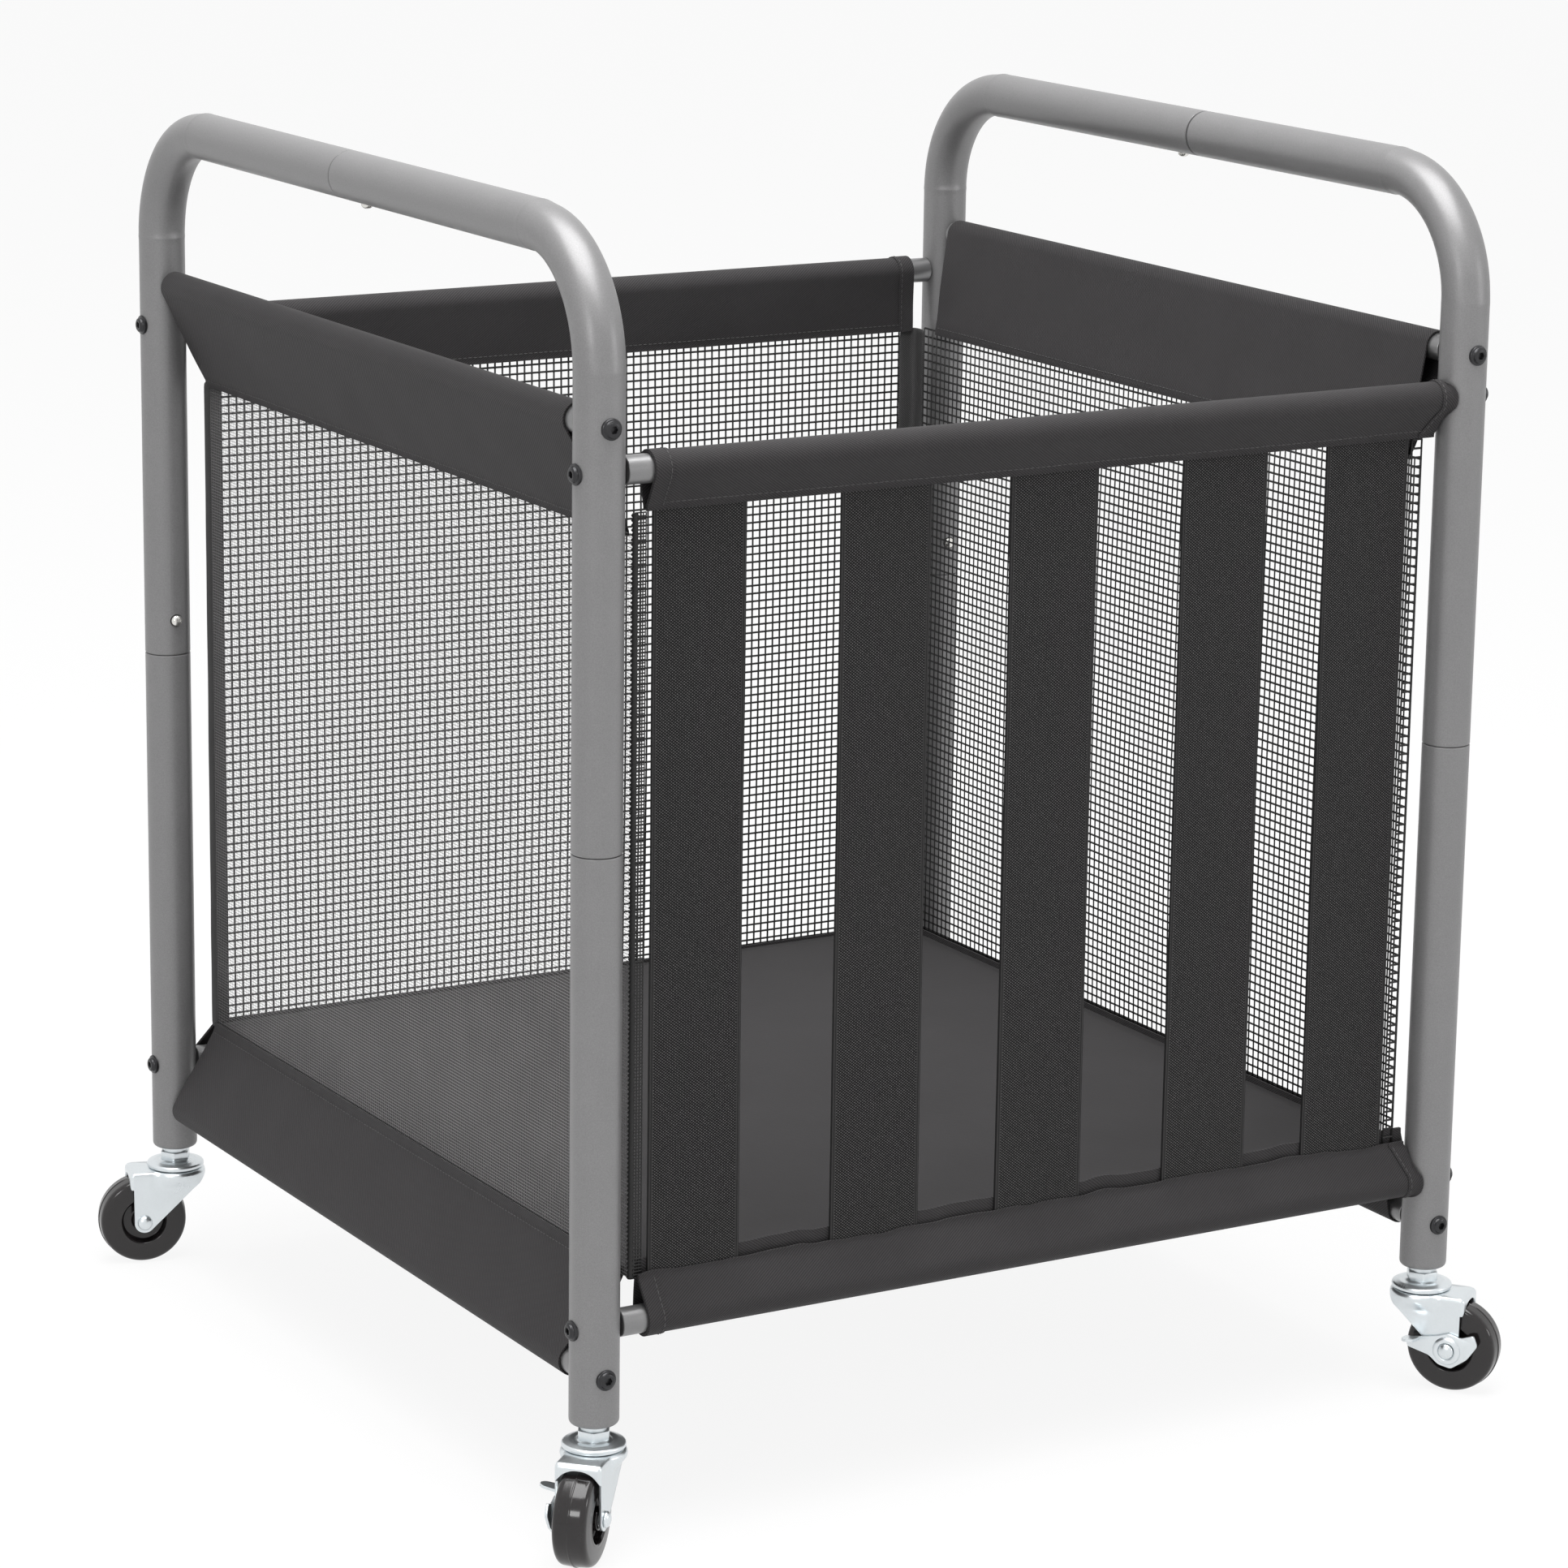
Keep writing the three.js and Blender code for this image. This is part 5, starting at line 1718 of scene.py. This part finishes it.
def build_floor_and_sky():
    """A pale floor that shows nearly white and keeps a soft shadow, under a sky brighter above."""
    stage = stage_settings()
    data = bpy.data.meshes.new("studio_floor")
    reach = 60.0
    corners = [(-reach, -reach, 0), (reach, -reach, 0), (reach, reach, 0), (-reach, reach, 0)]
    data.from_pydata(corners, [], [(0, 1, 2, 3)])
    material, tree, shader = new_material("pale_floor")
    shader.inputs["Base Color"].default_value = (*stage.floor, 1)
    shader.inputs["Roughness"].default_value = 0.9
    shader.inputs["Specular IOR Level"].default_value = 0.0
    white = tree.nodes.new("ShaderNodeEmission")
    share = add_math(tree, "MULTIPLY", seen_ray(tree), stage.floor_white)
    show_white(tree, share, shader, white, tree.nodes["Material Output"])
    data.materials.append(material)
    floor = link_object("studio_floor", data)
    world = bpy.data.worlds.new("studio_sky")
    bpy.context.scene.world = world
    world.use_nodes = True
    tree = world.node_tree
    lit = tree.nodes["Background"]
    place = tree.nodes.new("ShaderNodeTexCoord").outputs["Generated"]
    height = split_vector(tree, place)[2]
    strength = add_range(tree, height, 0.0, 1.0, stage.horizon, stage.zenith)
    tree.links.new(strength, lit.inputs["Strength"])
    lit.inputs["Color"].default_value = (1, 1, 1, 1)
    white = add_node(tree, "ShaderNodeBackground", {"Color": (1, 1, 1)})
    show_white(tree, seen_ray(tree), lit, white, tree.nodes["World Output"])


def show_white(tree, share, lit, white, end):
    """Ends a tree in a mix of its lit shader and a white one, by share."""
    mix = add_node(
        tree, "ShaderNodeMixShader", {0: share, 1: lit.outputs[0], 2: white.outputs[0]})
    tree.links.new(mix.outputs[0], end.inputs["Surface"])


def seen_ray(tree):
    """1 for rays of the camera, of reflections and through glass, and 0 for the rest."""
    path = tree.nodes.new("ShaderNodeLightPath")
    first = add_math(tree, "MAXIMUM", path.outputs["Is Camera Ray"], path.outputs["Is Glossy Ray"])
    return add_math(tree, "MAXIMUM", first, path.outputs["Is Transmission Ray"])


def add_light(name, place, target, size, power):
    data = bpy.data.lights.new(name, "AREA")
    data.shape = "RECTANGLE"
    data.size, data.size_y = size
    data.energy = power
    light = link_object(name, data)
    light.location = place
    light.rotation_euler = (Vector(target) - Vector(place)).to_track_quat("-Z", "Y").to_euler()


def build_lights():
    stage = stage_settings()
    middle = (0, 0, 0.35)
    add_light("top_light", (-0.3, -0.4, 2.9), middle, (2.4, 2.4), stage.top)
    add_light("key_light", (-2.8, -2.2, 1.6), middle, (0.7, 0.7), stage.key)
    add_light("fill_light", (2.4, -2.6, 1.2), middle, (0.7, 0.7), stage.fill)


def build_camera():
    stage = stage_settings()
    data = bpy.data.cameras.new("camera")
    data.sensor_width = 36
    data.lens = stage.focal_pixels * data.sensor_width / FRAME_WIDTH
    camera = link_object("camera", data)
    forward = Vector((
        math.sin(stage.azimuth) * math.cos(stage.drop),
        math.cos(stage.azimuth) * math.cos(stage.drop), -math.sin(stage.drop)))
    camera.location = stage.place
    camera.rotation_mode = "QUATERNION"
    level = forward.to_track_quat("-Z", "Y")
    camera.rotation_quaternion = level @ Matrix.Rotation(stage.roll, 4, "Z").to_quaternion()
    data.clip_start = 0.1
    data.clip_end = 60
    bpy.context.scene.camera = camera
    bpy.context.scene.view_settings.view_transform = "Standard"


# Operators


class CART_OT_handle_tubes(Operator):
    """Builds the four bent upper tubes"""
    bl_idname = "cart.handle_tubes"
    bl_label = "Handle tubes"

    def execute(self, context):
        for corner in CORNERS:
            build_upper_tube(corner)
        return {"FINISHED"}


class CART_OT_legs(Operator):
    """Builds the four lower legs"""
    bl_idname = "cart.legs"
    bl_label = "Lower legs"

    def execute(self, context):
        for corner in CORNERS:
            build_lower_leg(corner)
        return {"FINISHED"}


class CART_OT_rails(Operator):
    """Builds the eight rails"""
    bl_idname = "cart.rails"
    bl_label = "Rails"

    def execute(self, context):
        for level, side in RAILS:
            build_rail(level, side)
        return {"FINISHED"}


class CART_OT_bolts(Operator):
    """Puts a bolt on each rail end"""
    bl_idname = "cart.bolts"
    bl_label = "Bolts"

    def execute(self, context):
        build_bolts()
        return {"FINISHED"}


class CART_OT_snap_buttons(Operator):
    """Builds the snap buttons of the legs and handles"""
    bl_idname = "cart.snap_buttons"
    bl_label = "Snap buttons"

    def execute(self, context):
        flange = frame_sizes().snap_flange
        for corner in CORNERS:
            node = f"leg_snap_button_{corner}"
            axis = LEG_AXES[corner] + Vector((0, 0, node_box(node)[1].z - flange))
            build_snap_button(node, axis, (0, inward(corner), 0), (0, 0, -1))
        for side, way in (("left", 1), ("right", -1)):
            node = f"handle_snap_button_{side}"
            build_snap_button(node, handle_pin(side), (0, 0, -1), (0, way, 0))
        return {"FINISHED"}


class CART_OT_sleeves(Operator):
    """Builds the fabric sleeves round the rails"""
    bl_idname = "cart.sleeves"
    bl_label = "Sleeves"

    def execute(self, context):
        for level, side in RAILS:
            build_sleeve(level, side)
        return {"FINISHED"}


class CART_OT_straps(Operator):
    """Builds the elastic straps of the front"""
    bl_idname = "cart.straps"
    bl_label = "Straps"

    def execute(self, context):
        for number in STRAPS:
            build_strap(number)
        return {"FINISHED"}


class CART_OT_nets(Operator):
    """Builds the nets of the back and sides"""
    bl_idname = "cart.nets"
    bl_label = "Nets"

    def execute(self, context):
        for side in ("back", "left", "right"):
            build_net(side)
        return {"FINISHED"}


class CART_OT_corner_bands(Operator):
    """Builds the bands down the back corners"""
    bl_idname = "cart.corner_bands"
    bl_label = "Corner bands"

    def execute(self, context):
        for side in ("left", "right"):
            build_corner_band(side)
        return {"FINISHED"}


class CART_OT_floor_panel(Operator):
    """Builds the basket's floor"""
    bl_idname = "cart.floor_panel"
    bl_label = "Basket floor"

    def execute(self, context):
        build_floor()
        return {"FINISHED"}


class CART_OT_stitches(Operator):
    """Lays the stitches of the sleeves"""
    bl_idname = "cart.stitches"
    bl_label = "Stitches"

    def execute(self, context):
        build_stitches()
        return {"FINISHED"}


class CART_OT_casters(Operator):
    """Builds the stems, forks, wheels, axles and brakes"""
    bl_idname = "cart.casters"
    bl_label = "Casters"

    def execute(self, context):
        for corner in CORNERS:
            build_stem(corner)
            build_fork(corner)
            build_wheel(corner)
            build_axle(corner)
            if corner.startswith("front"):
                build_brake(corner)
        return {"FINISHED"}


class CART_OT_stage(Operator):
    """Builds the floor, the lights and the camera"""
    bl_idname = "cart.stage"
    bl_label = "Stage"

    def execute(self, context):
        build_camera()
        build_floor_and_sky()
        build_lights()
        return {"FINISHED"}


OPERATORS = (
    CART_OT_stage, CART_OT_handle_tubes, CART_OT_legs, CART_OT_rails, CART_OT_bolts,
    CART_OT_snap_buttons, CART_OT_sleeves, CART_OT_straps, CART_OT_nets, CART_OT_corner_bands,
    CART_OT_floor_panel, CART_OT_stitches, CART_OT_casters,
)


class CART_PT_pieces(Panel):
    """Lists the steps that build the cart"""
    bl_idname = "CART_PT_pieces"
    bl_label = "Ball cart"
    bl_space_type = "VIEW_3D"
    bl_region_type = "UI"
    bl_category = "Ball cart"

    def draw(self, context):
        for operator in OPERATORS:
            self.layout.operator(operator.bl_idname)


PROPERTY_GROUPS = {
    "cart_frame": CartFrameSizes,
    "cart_caster": CartCasterSizes,
    "cart_cloth": CartClothSizes,
    "cart_colours": CartColours,
    "cart_stage": CartStage,
}


def register():
    for name, group in PROPERTY_GROUPS.items():
        bpy.utils.register_class(group)
        setattr(bpy.types.Scene, name, PointerProperty(type=group))
    for operator in OPERATORS:
        bpy.utils.register_class(operator)
    bpy.utils.register_class(CART_PT_pieces)


def unregister():
    bpy.utils.unregister_class(CART_PT_pieces)
    for operator in reversed(OPERATORS):
        bpy.utils.unregister_class(operator)
    for name, group in PROPERTY_GROUPS.items():
        delattr(bpy.types.Scene, name)
        bpy.utils.unregister_class(group)


def main():
    register()
    bpy.ops.cart.stage()
    bpy.ops.cart.handle_tubes()
    bpy.ops.cart.legs()
    bpy.ops.cart.rails()
    bpy.ops.cart.bolts()
    bpy.ops.cart.snap_buttons()
    bpy.ops.cart.sleeves()
    bpy.ops.cart.straps()
    bpy.ops.cart.nets()
    bpy.ops.cart.corner_bands()
    bpy.ops.cart.floor_panel()
    bpy.ops.cart.stitches()
    bpy.ops.cart.casters()


if __name__ == "__main__":
    main()
